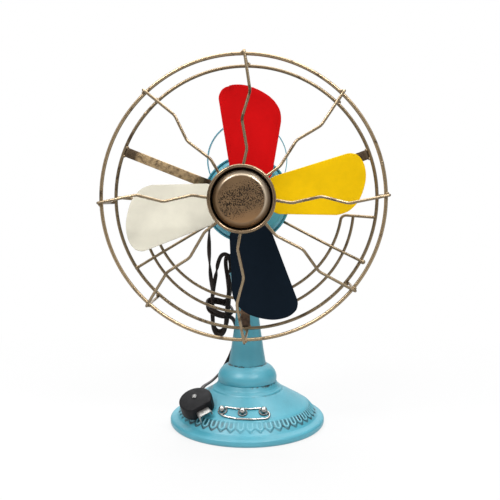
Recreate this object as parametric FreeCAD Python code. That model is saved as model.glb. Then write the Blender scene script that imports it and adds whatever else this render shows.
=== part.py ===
import FreeCAD
import Part
import math
import os

# Retro desk fan: a wire cage with eight zigzag spokes round four loose-turning petal blades, a
# bullet-shaped housing with a strip handle, an hourglass column on a domed round base with three
# ball buttons, and a thin flat lead that hangs in a hank and ends in a round plug.
#
# Frame: millimetres, +Z up, origin at the middle of the base's underside, the fan faces -Y.
# Head pieces are drawn in head axes: x to the right, y up and z forward along the shaft, with
# the origin on the shaft straight above the middle of the base. place_head() puts them in place.

V = FreeCAD.Vector
ORIGIN = V(0, 0, 0)
AXIS_X = V(1, 0, 0)
AXIS_Y = V(0, 1, 0)
AXIS_Z = V(0, 0, 1)

# ---- driving dimensions ------------------------------------------------------------------
SHAFT_HEIGHT = 223.6

# Cage: two equal rings, tied together by rods along the shaft.
RING_RADIUS = 122.2
RING_WIRE = 1.6
FRONT_RING_Z = 88.0
REAR_RING_Z = 36.0
SPOKE_WIRE = 1.3
SPOKE_COUNT = 8
SPOKE_DRIFT = (1.5, 1.5, -0.8, -2.7, 1.6, 3.1, 0.8, 6.0)
SPOKE_START = 22.0
SPOKE_BENDS = ((42.5, 4.0), (67.5, -0.8), (90.5, 5.8))
SPOKE_BEND_RADIUS = 11.0
TIE_RADIUS = RING_RADIUS + RING_WIRE + SPOKE_WIRE - 0.1
TIE_OVERHANG = 1.6

# Hub of the cage: a rolled ring with a pressed disc in it.
HUB_BACK_Z = 96.5
HUB_BEAD_RADIUS = 27.5
HUB_BEAD_WIRE = 1.7
HUB_BEAD_Z = 101.0
HUB_SHEET = 1.0
DISC_RADIUS = 24.7
DISC_FRONT_Z = 103.0

# Rear grille: flat straps, straight stays and two bent wires in the lower half.
STRAP_ANGLES = {"strap_right": 20.0, "strap_left": 158.5, "strap_lower": 270.0}
STRAP_WIDTH = 9.0
STRAP_SHEET = 1.5
STRAP_FOOT_START = 32.5
STRAP_SCREW_RADIUS = 35.8
# Each stay's turn round the shaft at the housing and at the rear ring, and how far out it ends.
STAYS = {"stay_right": (-31.3, -28.0, 124.2), "stay_left": (213.8, 212.3, 121.0)}
STAY_WIRE = 1.35
STAY_KNOB = 2.3
BASKET_WIRE = 1.4
BASKET_TURN = -4.35
BASKET_BAR_Y = -7.8
BASKET_CORNER = 5.0
INNER_WIRE_CENTRE = (0.7, -4.2)
INNER_WIRE_RADIUS = 89.8
OUTER_WIRE_CENTRE = (1.7, -7.5)
OUTER_WIRE_RADIUS = 99.6

# Blades: four flat petals cut by hand and riveted to a four-armed hub. Each has its turn round the
# shaft, how far it is slid out, its width and length as shares of the pattern, and how far its root
# reaches to the leading and the trailing side.
BLADES = {
    "blade_red": (86.7, -6.6, 1.01, 0.98, 13.7, 24.7),
    "blade_yellow": (9.0, 0.2, 0.95, 1.01, 16.6, 19.1),
    "blade_navy": (-77.4, 0.3, 1.04, 1.03, 18.6, 21.4),
    "blade_white": (191.7, 2.0, 1.04, 0.99, 17.6, 21.4),
}
BLADE_PITCH = 18.0
BLADE_SHEET = 1.0
BLADE_MID_Z = 62.0
ARM_SHEET = 1.5
ARM_WIDTH = 9.0
ARM_REACH = 31.0
HUB_BOSS_RADIUS = 8.0
HUB_BOSS_SPAN = (54.0, 70.0)
RIVET_RADIUS = 1.5
RIVET_PLACES = (17.0, 26.0)

# Shaft line.
SHAFT_RADIUS = 2.0
RUNNING_CLEARANCE = 0.05
SHAFT_SPAN = (-40.0, 75.0)
BEARING_TUBE_RADII = (5.0, 7.0)
BEARING_TUBE_SPAN = (-43.4, 25.0)
FRONT_BUSH_SPAN = (15.0, 25.0)
BUSH_FLANGE_RADIUS = 6.4
BUSH_FLANGE = 1.2
REAR_BUSH_SPAN = (-38.0, -28.0)
END_PLAY = 0.3
COLLAR_LENGTH = 6.0

# Housing.
HOUSING_RADIUS = 41.2
HOUSING_BAND_RADIUS = 42.4
HOUSING_FACE_Z = 24.0
HOUSING_SHEET = 1.2

# Carrying handle: a flat strip bent into a loop.
HANDLE_RADIUS = 39.0
HANDLE_CENTRE_Y = 38.0
HANDLE_SHEET = 0.8
HANDLE_WIDTH = 8.0
HANDLE_FOOT_TURN = 13.0

# Neck and column.
POST_RADII = (9.5, 7.6)
SADDLE_SHEET = 1.7
SADDLE_HALF_TURN = 24.0
SADDLE_SPAN = (-10.0, 7.0)
COLUMN_FOOT_Z = 59.1
COLUMN_TOP_Z = 148.0
COLUMN_SHEET = 1.5
CAP_TOP_Z = 153.4
ROD_RADIUS = 2.5
ROD_HOLE = 3.2
ROD_TOP_Z = 172.0
ROD_FOOT_Z = 31.0

# Base: a pressed shell with a straight conical skirt, closed below by a plate and a felt.
SKIRT_TOP = (35.0, 34.2)
SKIRT_END = (58.8, 20.7)
BASE_TOP_Z = 41.4
BASE_SHEET = 1.5
BASE_OPENING_RADIUS = 74.2
PLATE_SPAN = (1.0, 2.2)
FELT_RADIUS = 73.5

# Buttons: balls on stems in a row round the skirt, inside a wire trim.
BUTTON_TURNS = {"button_left": -23.4, "button_middle": -2.0, "button_right": 19.4}
BUTTON_REACH = 52.4
BUTTON_BALL = 3.1
BUTTON_HEIGHT = 3.3
BUTTON_STEM = 1.2
GUIDE_RADIUS = 4.1
GUIDE_WELL_RADIUS = 3.35
GUIDE_FLOOR = -1.2
GUIDE_DEPTH = 4.0
GUIDE_FLANGE = 4.7
TRIM_WIRE = 0.9
TRIM_LIFT = 1.1
# Distance from the base's axis and turn from straight ahead, for each corner of the trim. Its two
# ends are inside the left button's guide.
TRIM_POINTS = (
    (48.4, -22.0), (48.8, -9.0), (48.8, 5.0), (48.6, 18.5), (51.5, 24.0), (57.5, 24.4),
    (60.0, 20.5), (59.8, 7.0), (59.4, -7.0), (57.9, -19.0), (55.2, -27.0), (51.0, -27.4),
    (49.0, -24.6),
)

# Lead: a limp flat flex. Its tube is as thick as the flex is wide.
CORD_RADIUS = 2.0
CORD_BEND_SHARE = 0.45
GLAND_CENTRE = (-38.2, 4.0)
GLAND_SPAN = (200.0, 212.0)
GLAND_RADII = (2.8, 4.0)
DROP_ROUTE = (
    (-38.2, 4.0, 200.0), (-38.7, 4.4, 182.0), (-38.8, 6.6, 163.0), (-38.1, 10.6, 147.0),
    (-36.6, 15.2, 133.0),
)
TAIL_ROUTE = (
    (-19.0, 18.5, 110.0), (-13.2, 21.5, 99.0), (-11.6, 23.6, 86.0), (-14.5, 25.6, 72.0),
    (-19.5, 29.0, 58.5), (-25.5, 29.5, 46.5), (-33.0, 19.5, 38.8), (-38.2, 4.5, 37.0),
)
HANK_LOOP = (
    (-25.4, 16.0, 165.2), (-29.6, 16.0, 158.6), (-32.6, 16.0, 143.0), (-35.8, 16.0, 122.0),
    (-35.4, 16.0, 103.0), (-32.4, 16.0, 92.6), (-28.4, 16.0, 88.4), (-24.6, 16.0, 93.0),
    (-22.2, 16.0, 106.0), (-20.2, 16.0, 122.0), (-20.6, 16.0, 143.0), (-21.6, 16.0, 158.6),
)
HANK_BUNDLE = 3.2
HANK_WRAP_CENTRE = (-29.0, 16.0, 113.4)
HANK_WRAP_SIZE = (13.2, 6.8, 8.5)
HANK_WRAP_TILT = 12.0

# Plug: a puck with one flat side and a bent tin strip, leaning on the skirt.
PLUG_SPOT = (-45.25, -39.0, 23.6)
PLUG_LEAN = -109.8
PLUG_TILT = 26.2
PLUG_TWIST = 141.8
PLUG_RADIUS = 15.9
PLUG_THICKNESS = 12.7
PLUG_FLAT = 12.7
PLUG_ENTRY_TURN = 50.0
PLUG_RIVET_SPOT = (0.5, 3.4)
PRONG_SHEET = 0.8
PRONG_SPAN = (-6.2, 6.0)
PRONG_REACH = 6.0
PRONG_LEGS = (7.0, 4.6)
PRONG_DROP = 4.8


# ---- shape helpers ------------------------------------------------------------------------
def save(name, *solids):
    shape = solids[0] if len(solids) == 1 else Part.makeCompound(list(solids))
    shape.exportStep("parts/%s.step" % name)
    print("%-20s %10.1f mm3  valid %s" % (name, shape.Volume, shape.isValid()))


def profile(start, *steps):
    """A face in the XZ plane. A step is an end point, (middle, end) of an arc or a spline's list."""
    edges = []
    here = V(start[0], 0, start[1])
    first = here
    for step in steps:
        if isinstance(step, list):
            points = [here] + [V(r, 0, z) for r, z in step]
            curve = Part.BSplineCurve()
            curve.interpolate(points)
            edges.append(curve.toShape())
            here = points[-1]
        elif len(step) == 4:
            middle = V(step[0], 0, step[1])
            end = V(step[2], 0, step[3])
            edges.append(Part.Arc(here, middle, end).toShape())
            here = end
        else:
            end = V(step[0], 0, step[1])
            edges.append(Part.makeLine(here, end))
            here = end
    if here.distanceToPoint(first) > 1e-6:
        edges.append(Part.makeLine(here, first))
    return Part.Face(Part.Wire(edges))


def turned(start, *steps):
    """A solid of revolution about Z from an outline of (radius, height) points."""
    return profile(start, *steps).revolve(ORIGIN, AXIS_Z, 360)


def dome(radius, low, rise):
    """The profile step of a low dome from its edge at (radius, low) to its top on the axis."""
    sphere = (radius**2 + rise**2) / (2 * rise)
    half = math.asin(radius / sphere) / 2
    return (sphere * math.sin(half), low + rise - sphere * (1 - math.cos(half)), 0, low + rise)


def tube(inner, outer, low, high):
    return turned((inner, low), (outer, low), (outer, high), (inner, high))


def place_head(shape):
    placed = shape.copy()
    placed.rotate(ORIGIN, AXIS_X, 90)
    placed.translate(V(0, 0, SHAFT_HEIGHT))
    return placed


def about_shaft(shape, degrees):
    placed = shape.copy()
    placed.rotate(ORIGIN, AXIS_Z, degrees)
    return placed


def polar(radius, degrees, height=0.0):
    angle = math.radians(degrees)
    return V(radius * math.cos(angle), radius * math.sin(angle), height)


def rounded_path(points, radius=None, closed=False):
    """Straight runs joined by tangent arcs. With no radius, each arc is as large as its runs allow."""
    count = len(points)
    corners = range(count) if closed else range(1, count - 1)
    edges = []
    radii = []
    last = None if closed else points[0]
    first = None
    for i in corners:
        corner = points[i]
        back = points[i - 1] - corner
        ahead = points[(i + 1) % count] - corner
        shorter = min(back.Length, ahead.Length)
        back.normalize()
        ahead.normalize()
        half_turn = (math.pi - back.getAngle(ahead)) / 2
        bend = radius or CORD_BEND_SHARE * shorter / math.tan(half_turn)
        reach = bend * math.tan(half_turn)
        middle = (back + ahead).normalize() * (bend / math.cos(half_turn) - bend)
        start = corner + back * reach
        end = corner + ahead * reach
        if last is not None:
            edges.append(Part.makeLine(last, start))
        else:
            first = start
        edges.append(Part.Arc(start, corner + middle, end).toShape())
        radii.append(bend)
        last = end
    edges.append(Part.makeLine(last, first if closed else points[-1]))
    return Part.Wire(edges), radii


def swept(path, section):
    return path.makePipeShell([section], True, False)


def wire_along(path, radius):
    """A round wire along a path that starts with a straight run or an arc."""
    first = path.OrderedEdges[0]
    heading = first.tangentAt(first.FirstParameter)
    start = first.valueAt(first.FirstParameter)
    circle = Part.makeCircle(radius, start, heading)
    return swept(path, Part.Wire([circle]))


def strip_along(path, sheet, width):
    """A flat strip along a path in the XZ plane, its width along Y."""
    first = path.OrderedEdges[0]
    heading = first.tangentAt(first.FirstParameter)
    start = first.valueAt(first.FirstParameter)
    across = heading.cross(AXIS_Y).normalize() * (sheet / 2)
    along = AXIS_Y * (width / 2)
    corners = [start + across + along, start - across + along, start - across - along]
    corners.append(start + across - along)
    return swept(path, Part.makePolygon(corners + corners[:1]))


def ring_sector(centre, inner, outer, start, end, low, high):
    """Part of a flat ring between two angles, thick from low to high."""
    def on(radius, degrees):
        return V(centre[0], centre[1], low) + polar(radius, degrees)
    middle = (start + end) / 2
    edges = [
        Part.Arc(on(outer, start), on(outer, middle), on(outer, end)).toShape(),
        Part.makeLine(on(outer, end), on(inner, end)),
        Part.Arc(on(inner, end), on(inner, middle), on(inner, start)).toShape(),
        Part.makeLine(on(inner, start), on(outer, start)),
    ]
    return Part.Face(Part.Wire(edges)).extrude(V(0, 0, high - low))


def screw(sheet):
    """A pan-head screw that stands on z = 0 with its thread going down through the sheet."""
    return turned(
        (0, -sheet - 3.0), (1.2, -sheet - 3.0), (1.2, 0), (2.4, 0), (2.2, 1.0, 1.2, 1.5), (0, 1.6)
    )


def skirt_frame(reach, azimuth, lift=0.0):
    """A placement on the conical skirt: origin on the surface, z outwards from it, x downhill."""
    slope = math.atan2(SKIRT_TOP[1] - SKIRT_END[1], SKIRT_END[0] - SKIRT_TOP[0])
    height = SKIRT_TOP[1] - (reach - SKIRT_TOP[0]) * math.tan(slope)
    turn = FreeCAD.Rotation(AXIS_Z, azimuth) * FreeCAD.Rotation(AXIS_Y, math.degrees(slope))
    return FreeCAD.Placement(polar(reach, azimuth, height) + turn.multVec(V(0, 0, lift)), turn)


def on_skirt(shape, placement):
    placed = shape.copy()
    placed.Placement = placement.multiply(shape.Placement)
    return placed


# ---- base ---------------------------------------------------------------------------------
def button_places():
    return {name: skirt_frame(BUTTON_REACH, turn - 90) for name, turn in BUTTON_TURNS.items()}


def make_base():
    shell = turned(
        (ROD_HOLE, BASE_TOP_Z), (29.4, BASE_TOP_Z), (31.0, 38.2, 33.6, 35.6),
        SKIRT_TOP, SKIRT_END, (60.5, 19.6, 61.8, 18.0), (68.4, 10.9), (70.3, 8.9, 72.7, 7.7),
        (75.0, 6.9), (76.7, 5.7, 77.3, 3.2), (77.0, 1.0, 75.6, 0), (BASE_OPENING_RADIUS, 0),
        (BASE_OPENING_RADIUS, 5.0), (71.6, 6.0), (68.8, 7.4), (67.0, 9.3), (60.3, 16.9),
        (58.4, 18.9), (34.0, 32.8), (32.2, 34.4), (29.9, 36.8, 28.4, 39.9),
        (ROD_HOLE, BASE_TOP_Z - BASE_SHEET),
    )
    hole = Part.makeCylinder(GUIDE_RADIUS, 2 * GUIDE_DEPTH, V(0, 0, -GUIDE_DEPTH))
    for place in button_places().values():
        shell = shell.cut(on_skirt(hole, place))
    save("base_shell", shell)
    save("base_plate", Part.makeCylinder(BASE_OPENING_RADIUS, PLATE_SPAN[1] - PLATE_SPAN[0],
                                         V(0, 0, PLATE_SPAN[0])))
    save("base_felt", Part.makeCylinder(FELT_RADIUS, PLATE_SPAN[0]))
    dome = turned(
        (ROD_HOLE, COLUMN_FOOT_Z), (19.2, COLUMN_FOOT_Z),
        [(25.0, 55.6), (28.7, 50.2), (29.6, 46.0), (29.1, BASE_TOP_Z)], (27.6, BASE_TOP_Z),
        [(28.1, 46.0), (27.2, 49.6), (24.0, 54.4), (19.0, COLUMN_FOOT_Z - BASE_SHEET)],
        (ROD_HOLE, COLUMN_FOOT_Z - BASE_SHEET),
    )
    save("base_dome", dome)


def make_buttons():
    guide = turned(
        (BUTTON_STEM + RUNNING_CLEARANCE, -GUIDE_DEPTH), (GUIDE_RADIUS, -GUIDE_DEPTH),
        (GUIDE_RADIUS, -0.2), (GUIDE_FLANGE, -0.2), (4.6, 1.1, 4.1, 1.5),
        (GUIDE_WELL_RADIUS, 1.3), (GUIDE_WELL_RADIUS, GUIDE_FLOOR),
        (BUTTON_STEM + RUNNING_CLEARANCE, GUIDE_FLOOR),
    )
    clip_top = -GUIDE_DEPTH - 0.1
    ball = Part.makeSphere(BUTTON_BALL, V(0, 0, BUTTON_HEIGHT))
    stem = Part.makeCylinder(BUTTON_STEM, BUTTON_HEIGHT - clip_top, V(0, 0, clip_top))
    clip = Part.makeCylinder(BUTTON_STEM + 0.8, 1.0, V(0, 0, clip_top - 1.0))
    button = ball.fuse([stem, clip]).removeSplitter()
    places = button_places()
    save("button_guides", *[on_skirt(guide, place) for place in places.values()])
    for name, place in places.items():
        save(name, on_skirt(button, place))
    points = [skirt_frame(reach, turn - 90, TRIM_LIFT).Base for reach, turn in TRIM_POINTS]
    path, _ = rounded_path(points)
    trim = wire_along(path, TRIM_WIRE)
    well = Part.makeCylinder(GUIDE_WELL_RADIUS + 0.3, 10.0, V(0, 0, -GUIDE_DEPTH / 2))
    for place in places.values():
        trim = trim.cut(on_skirt(well, place))
    save("button_trim", trim)


# ---- column and neck ------------------------------------------------------------------------
def make_column():
    bends = ((14.9, 82.0), (11.5, 110.0), (13.9, 133.6), (17.1, COLUMN_TOP_Z))
    outer = [(radius, z) for radius, z in bends]
    inner = [(radius - COLUMN_SHEET, z) for radius, z in reversed(bends)]
    foot = 18.9
    column = turned(
        (foot, COLUMN_FOOT_Z), outer, inner[0], inner[1:] + [(foot - COLUMN_SHEET, COLUMN_FOOT_Z)]
    )
    save("column", column)
    cap = turned(
        (ROD_HOLE, COLUMN_TOP_Z), (17.1, COLUMN_TOP_Z), (18.0, 149.2, 17.0, 150.4),
        (10.5, CAP_TOP_Z), (ROD_HOLE, CAP_TOP_Z),
    )
    save("neck_cap", cap)
    rod = Part.makeCylinder(ROD_RADIUS, ROD_TOP_Z - ROD_FOOT_Z, V(0, 0, ROD_FOOT_Z))
    save("tie_rod", rod)
    washer_low = BASE_TOP_Z - BASE_SHEET - 1.0
    nut_low = washer_low - 4.0
    corners = [polar(4.6, 60 * i, nut_low) for i in range(6)]
    nut = Part.Face(Part.makePolygon(corners + corners[:1])).extrude(V(0, 0, washer_low - nut_low))
    nut = nut.cut(Part.makeCylinder(ROD_RADIUS, 10.0, V(0, 0, nut_low - 1)))
    save("tie_rod_nut", nut, tube(ROD_RADIUS, 6.0, washer_low, BASE_TOP_Z - BASE_SHEET))
    post_top = SHAFT_HEIGHT - HOUSING_RADIUS + 8.0
    post = turned(
        (0, CAP_TOP_Z), (POST_RADII[0], CAP_TOP_Z), (POST_RADII[0], 156.0),
        (8.0, 158.5, POST_RADII[1], 162.0), (POST_RADII[1], post_top), (0, post_top),
    )
    saddle_radius = HOUSING_RADIUS + SADDLE_SHEET
    clearance = place_head(Part.makeCylinder(saddle_radius, 60.0, V(0, 0, -30)))
    post = post.cut(clearance)
    post = post.cut(Part.makeCylinder(ROD_RADIUS, ROD_TOP_Z - CAP_TOP_Z, V(0, 0, CAP_TOP_Z)))
    save("neck_post", post)


def saddle_screws():
    """The two screws that hold the saddle, in head axes."""
    screws = []
    for turn in (-90 - SADDLE_HALF_TURN * 0.68, -90 + SADDLE_HALF_TURN * 0.68):
        fixing = screw(SADDLE_SHEET)
        fixing.rotate(ORIGIN, AXIS_Y, 90)
        fixing.translate(V(HOUSING_RADIUS + SADDLE_SHEET, 0, -1.5))
        screws.append(about_shaft(fixing, turn))
    return screws


def handle_screws():
    screws = []
    for turn in handle_foot_turns():
        fixing = screw(HANDLE_SHEET)
        fixing.rotate(ORIGIN, AXIS_Y, 90)
        fixing.translate(V(HOUSING_RADIUS + HANDLE_SHEET, 0, 0))
        screws.append(about_shaft(fixing, turn))
    return screws


def strap_screws():
    screws = []
    for turn in STRAP_ANGLES.values():
        fixing = screw(STRAP_SHEET)
        fixing.translate(V(STRAP_SCREW_RADIUS, 0, HOUSING_FACE_Z + STRAP_SHEET))
        screws.append(about_shaft(fixing, turn))
    return screws


def handle_meets_housing():
    """The angle on the housing where the handle's loop comes down on it."""
    reach = HOUSING_RADIUS + HANDLE_SHEET / 2
    rise = (reach**2 + HANDLE_CENTRE_Y**2 - HANDLE_RADIUS**2) / (2 * reach * HANDLE_CENTRE_Y)
    return math.degrees(math.asin(rise))


def handle_foot_turns():
    middle = handle_meets_housing() - HANDLE_FOOT_TURN * 0.62
    return (middle, 180 - middle)


# ---- housing --------------------------------------------------------------------------------
def make_housing():
    fixings = saddle_screws() + handle_screws() + strap_screws()
    front = turned(
        (BEARING_TUBE_RADII[1], HOUSING_FACE_Z), (36.2, HOUSING_FACE_Z),
        (38.2, 23.2, 39.0, 21.2), (39.0, 13.0), (40.0, 12.0), (40.0, 2.0), (38.8, 2.0),
        (38.8, 11.6), (37.8, 12.6), (37.8, 21.0), (37.2, 22.3, 36.0, 22.8),
        (BEARING_TUBE_RADII[1], HOUSING_FACE_Z - HOUSING_SHEET),
    )
    rear = turned(
        (40.9, 16.0), (HOUSING_BAND_RADIUS, 16.0), (HOUSING_BAND_RADIUS, 9.0),
        (42.0, 8.0, HOUSING_RADIUS, 7.6), (HOUSING_RADIUS, -10.0),
        [(38.8, -23.0), (31.4, -34.6), (18.0, -42.6), (0, -45.4)], (0, -44.2),
        [(17.4, -41.5), (30.3, -33.8), (37.6, -22.6), (40.0, -10.0)], (40.0, 12.6), (40.9, 13.4),
    )
    save("housing_front", place_head(front.cut(fixings)))
    save("housing_rear", place_head(rear.cut(fixings)))
    saddle = ring_sector(
        (0, 0), HOUSING_RADIUS, HOUSING_RADIUS + SADDLE_SHEET, -90 - SADDLE_HALF_TURN,
        -90 + SADDLE_HALF_TURN, *SADDLE_SPAN
    )
    save("head_saddle", place_head(saddle.cut(fixings)))
    loop_turn = math.degrees(math.atan2(
        (HOUSING_RADIUS + HANDLE_SHEET / 2) * math.sin(math.radians(handle_meets_housing()))
        - HANDLE_CENTRE_Y,
        (HOUSING_RADIUS + HANDLE_SHEET / 2) * math.cos(math.radians(handle_meets_housing())),
    ))
    half = HANDLE_WIDTH / 2
    loop = ring_sector(
        (0, HANDLE_CENTRE_Y), HANDLE_RADIUS - HANDLE_SHEET / 2, HANDLE_RADIUS + HANDLE_SHEET / 2,
        loop_turn, 180 - loop_turn, -half, half
    )
    feet = []
    for turn in (handle_meets_housing(), 180 - handle_meets_housing()):
        step = -HANDLE_FOOT_TURN if turn < 90 else HANDLE_FOOT_TURN
        first, last = sorted((turn, turn + step))
        feet.append(ring_sector(
            (0, 0), HOUSING_RADIUS, HOUSING_RADIUS + HANDLE_SHEET, first, last, -half, half
        ))
    handle = loop.fuse(feet).cut(Part.makeCylinder(HOUSING_RADIUS, 60, V(0, 0, -30)))
    save("carry_handle", place_head(handle.cut(fixings)))
    save("housing_screws", *[place_head(fixing) for fixing in fixings])


# ---- shaft line -----------------------------------------------------------------------------
def make_shaft_line():
    bore = SHAFT_RADIUS + RUNNING_CLEARANCE
    low, high = BEARING_TUBE_SPAN
    save("bearing_tube", place_head(tube(*BEARING_TUBE_RADII, low, high)))
    front_low, front_high = FRONT_BUSH_SPAN
    flange_top = front_high + BUSH_FLANGE
    front_bush = turned(
        (bore, front_low), (BEARING_TUBE_RADII[0], front_low), (BEARING_TUBE_RADII[0], front_high),
        (BUSH_FLANGE_RADIUS, front_high), (BUSH_FLANGE_RADIUS, flange_top), (bore, flange_top),
    )
    save("front_bush", place_head(front_bush))
    save("rear_bush", place_head(tube(bore, BEARING_TUBE_RADII[0], *REAR_BUSH_SPAN)))
    low, high = SHAFT_SPAN
    save("shaft", place_head(Part.makeCylinder(SHAFT_RADIUS, high - low, V(0, 0, low))))
    collar_low = flange_top + END_PLAY
    inner_high = front_low - END_PLAY
    save(
        "shaft_collars",
        place_head(tube(SHAFT_RADIUS, 5.6, collar_low, collar_low + COLLAR_LENGTH)),
        place_head(tube(SHAFT_RADIUS, 4.2, inner_high - COLLAR_LENGTH, inner_high)),
    )
    boss_front = HUB_BOSS_SPAN[1]
    corners = [polar(4.6, 60 * i, boss_front) for i in range(6)]
    nut = Part.Face(Part.makePolygon(corners + corners[:1])).extrude(V(0, 0, 3.6))
    crown = turned((0, boss_front + 3.6), (3.7, boss_front + 3.6),
                   dome(3.7, boss_front + 3.6, 3.6))
    nut = nut.fuse(crown).cut(Part.makeCylinder(SHAFT_RADIUS, SHAFT_SPAN[1] - boss_front,
                                                V(0, 0, boss_front)))
    save("shaft_nut", place_head(nut))


# ---- blades ---------------------------------------------------------------------------------
def blade_outline(slide, width, length, root_front, root_back):
    """The flat petal: x runs out from the shaft, the leading edge is on +y."""
    root = 10.5
    neck_front = V(30.0 * length + slide, root_front, 0)
    neck_back = V(28.0 * length + slide, -root_back, 0)
    pattern = ((94.0, 27.6), (98.6, 27.2), (104.0, 24.0), (108.2, 15.5), (108.8, 3.0),
               (105.4, -9.5), (99.6, -20.4), (92.0, -27.2), (85.6, -29.6), (79.0, -30.2))
    points = [V(x * length + slide, y * width, 0) for x, y in pattern]
    leading_end, trailing_end = points[0], points[-1]
    tip = Part.BSplineCurve()
    tip.interpolate(points)
    edges = [
        Part.makeLine(V(root, 7.0, 0), neck_front),
        Part.makeLine(neck_front, leading_end),
        tip.toShape(),
        Part.makeLine(trailing_end, neck_back),
        Part.makeLine(neck_back, V(root, -7.0, 0)),
        Part.makeLine(V(root, -7.0, 0), V(root, 7.0, 0)),
    ]
    return Part.Face(Part.Wire(edges))


def pitched(shape, angle):
    """Tips a blade-plane shape to the blades' pitch and turns it to its place round the shaft."""
    placed = shape.copy()
    placed.rotate(ORIGIN, AXIS_X, BLADE_PITCH)
    placed.rotate(ORIGIN, AXIS_Z, angle)
    placed.translate(V(0, 0, BLADE_MID_Z))
    return placed


def make_blades():
    front = BLADE_SHEET / 2
    back = -BLADE_SHEET / 2 - ARM_SHEET
    holes = [
        Part.makeCylinder(RIVET_RADIUS, 10, V(place, 0, -5)) for place in RIVET_PLACES
    ]
    arm = Part.makeBox(ARM_REACH, ARM_WIDTH, ARM_SHEET, V(0, -ARM_WIDTH / 2, back))
    arm = arm.common(Part.makeCylinder(ARM_REACH, 20, V(0, 0, -10))).cut(holes)
    rivet = turned(
        (0, back - 0.8), (1.8, back - 0.8), (2.4, back), (RIVET_RADIUS, back), (RIVET_RADIUS, front),
        (2.7, front), dome(2.7, front, 1.1),
    )
    low, high = HUB_BOSS_SPAN
    boss = Part.makeCylinder(HUB_BOSS_RADIUS, high - low, V(0, 0, low))
    arms = [pitched(arm, blade[0]) for blade in BLADES.values()]
    hub = boss.fuse(arms).cut(Part.makeCylinder(SHAFT_RADIUS, high - low, V(0, 0, low)))
    save("blade_hub", place_head(hub))
    rivets = []
    for name, (angle, *cut) in BLADES.items():
        petal = blade_outline(*cut).extrude(V(0, 0, BLADE_SHEET))
        petal.translate(V(0, 0, -BLADE_SHEET / 2))
        save(name, place_head(pitched(petal.cut(holes), angle)))
        for place in RIVET_PLACES:
            fixing = rivet.copy()
            fixing.translate(V(place, 0, 0))
            rivets.append(place_head(pitched(fixing, angle)))
    save("blade_rivets", *rivets)


# ---- cage -----------------------------------------------------------------------------------
def make_rings():
    for name, z in (("front_ring", FRONT_RING_Z), ("rear_ring", REAR_RING_Z)):
        save(name, place_head(Part.makeTorus(RING_RADIUS, RING_WIRE, V(0, 0, z))))
    hub_ring = turned(
        (0, HUB_BACK_Z), (26.2, HUB_BACK_Z), (28.7, 99.8),
        (HUB_BEAD_RADIUS + 0.35, HUB_BEAD_Z + HUB_BEAD_WIRE - 0.04, 26.2, 100.4),
        (26.0, 98.0), (25.6, HUB_BACK_Z + HUB_SHEET), (0, HUB_BACK_Z + HUB_SHEET),
    )
    save("hub_ring", place_head(hub_ring))
    seat = HUB_BACK_Z + HUB_SHEET
    hub_disc = turned(
        (0, DISC_FRONT_Z), (19.4, DISC_FRONT_Z), (20.3, 102.8, 21.1, 102.2), (23.9, 99.7),
        (24.5, 99.0, DISC_RADIUS, 98.3), (DISC_RADIUS, seat), (DISC_RADIUS - HUB_SHEET, seat),
        (DISC_RADIUS - HUB_SHEET, 98.6), (20.6, 101.3), (19.2, DISC_FRONT_Z - HUB_SHEET),
        (0, DISC_FRONT_Z - HUB_SHEET),
    )
    save("hub_disc", place_head(hub_disc))


def spoke_path(drift):
    """A zigzag wire from behind the hub ring out over the front ring, with its radius along x."""
    start = V(SPOKE_START, 0, HUB_BACK_Z - SPOKE_WIRE + 0.1)
    end = polar(TIE_RADIUS + SPOKE_WIRE, drift, FRONT_RING_Z + RING_WIRE + SPOKE_WIRE - 0.1)
    run = end - start
    reach = TIE_RADIUS + SPOKE_WIRE
    points = [start]
    for radius, aside in SPOKE_BENDS:
        share = (radius - SPOKE_START) / (reach - SPOKE_START)
        points.append(start + run * share + V(0, -aside, 0))
    points.append(end)
    path, _ = rounded_path(points, SPOKE_BEND_RADIUS)
    return path


def make_spokes():
    ties = []
    for i, drift in enumerate(SPOKE_DRIFT):
        angle = i * 360 / SPOKE_COUNT
        spoke = wire_along(spoke_path(drift), SPOKE_WIRE)
        save("spoke_%d" % (i + 1), place_head(about_shaft(spoke, angle)))
        back = REAR_RING_Z - TIE_OVERHANG
        tie = Part.makeCylinder(SPOKE_WIRE, FRONT_RING_Z + TIE_OVERHANG - back,
                                polar(TIE_RADIUS, angle + drift, back))
        ties.append(place_head(tie))
    save("cage_ties", *ties)


def make_straps():
    foot_z = HOUSING_FACE_Z + STRAP_SHEET / 2
    run_z = REAR_RING_Z + BASKET_WIRE + STRAP_SHEET / 2 - 0.05
    rim = RING_RADIUS - RING_WIRE - STRAP_SHEET / 2 + 0.05
    points = [
        V(STRAP_FOOT_START, 0, foot_z), V(41.0, 0, foot_z), V(47.5, 0, run_z), V(rim, 0, run_z),
        V(rim, 0, REAR_RING_Z - 4.0),
    ]
    path, _ = rounded_path(points, 2.2)
    strap = strip_along(path, STRAP_SHEET, STRAP_WIDTH)
    fixings = strap_screws()
    for name, angle in STRAP_ANGLES.items():
        save(name, place_head(about_shaft(strap, angle).cut(fixings)))


def make_stays():
    run_z = REAR_RING_Z + RING_WIRE + STAY_WIRE - 0.05
    for name, (start, end, reach) in STAYS.items():
        first = V(HOUSING_BAND_RADIUS, 0, 12.5)
        last = polar(reach, end - start, run_z)
        middle = polar(88.0, (end - start) * 0.75, run_z)
        path, _ = rounded_path([first, middle, last], 20.0)
        stay = wire_along(path, STAY_WIRE).fuse(Part.makeSphere(STAY_KNOB, last))
        save(name, place_head(about_shaft(stay, start)))


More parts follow.
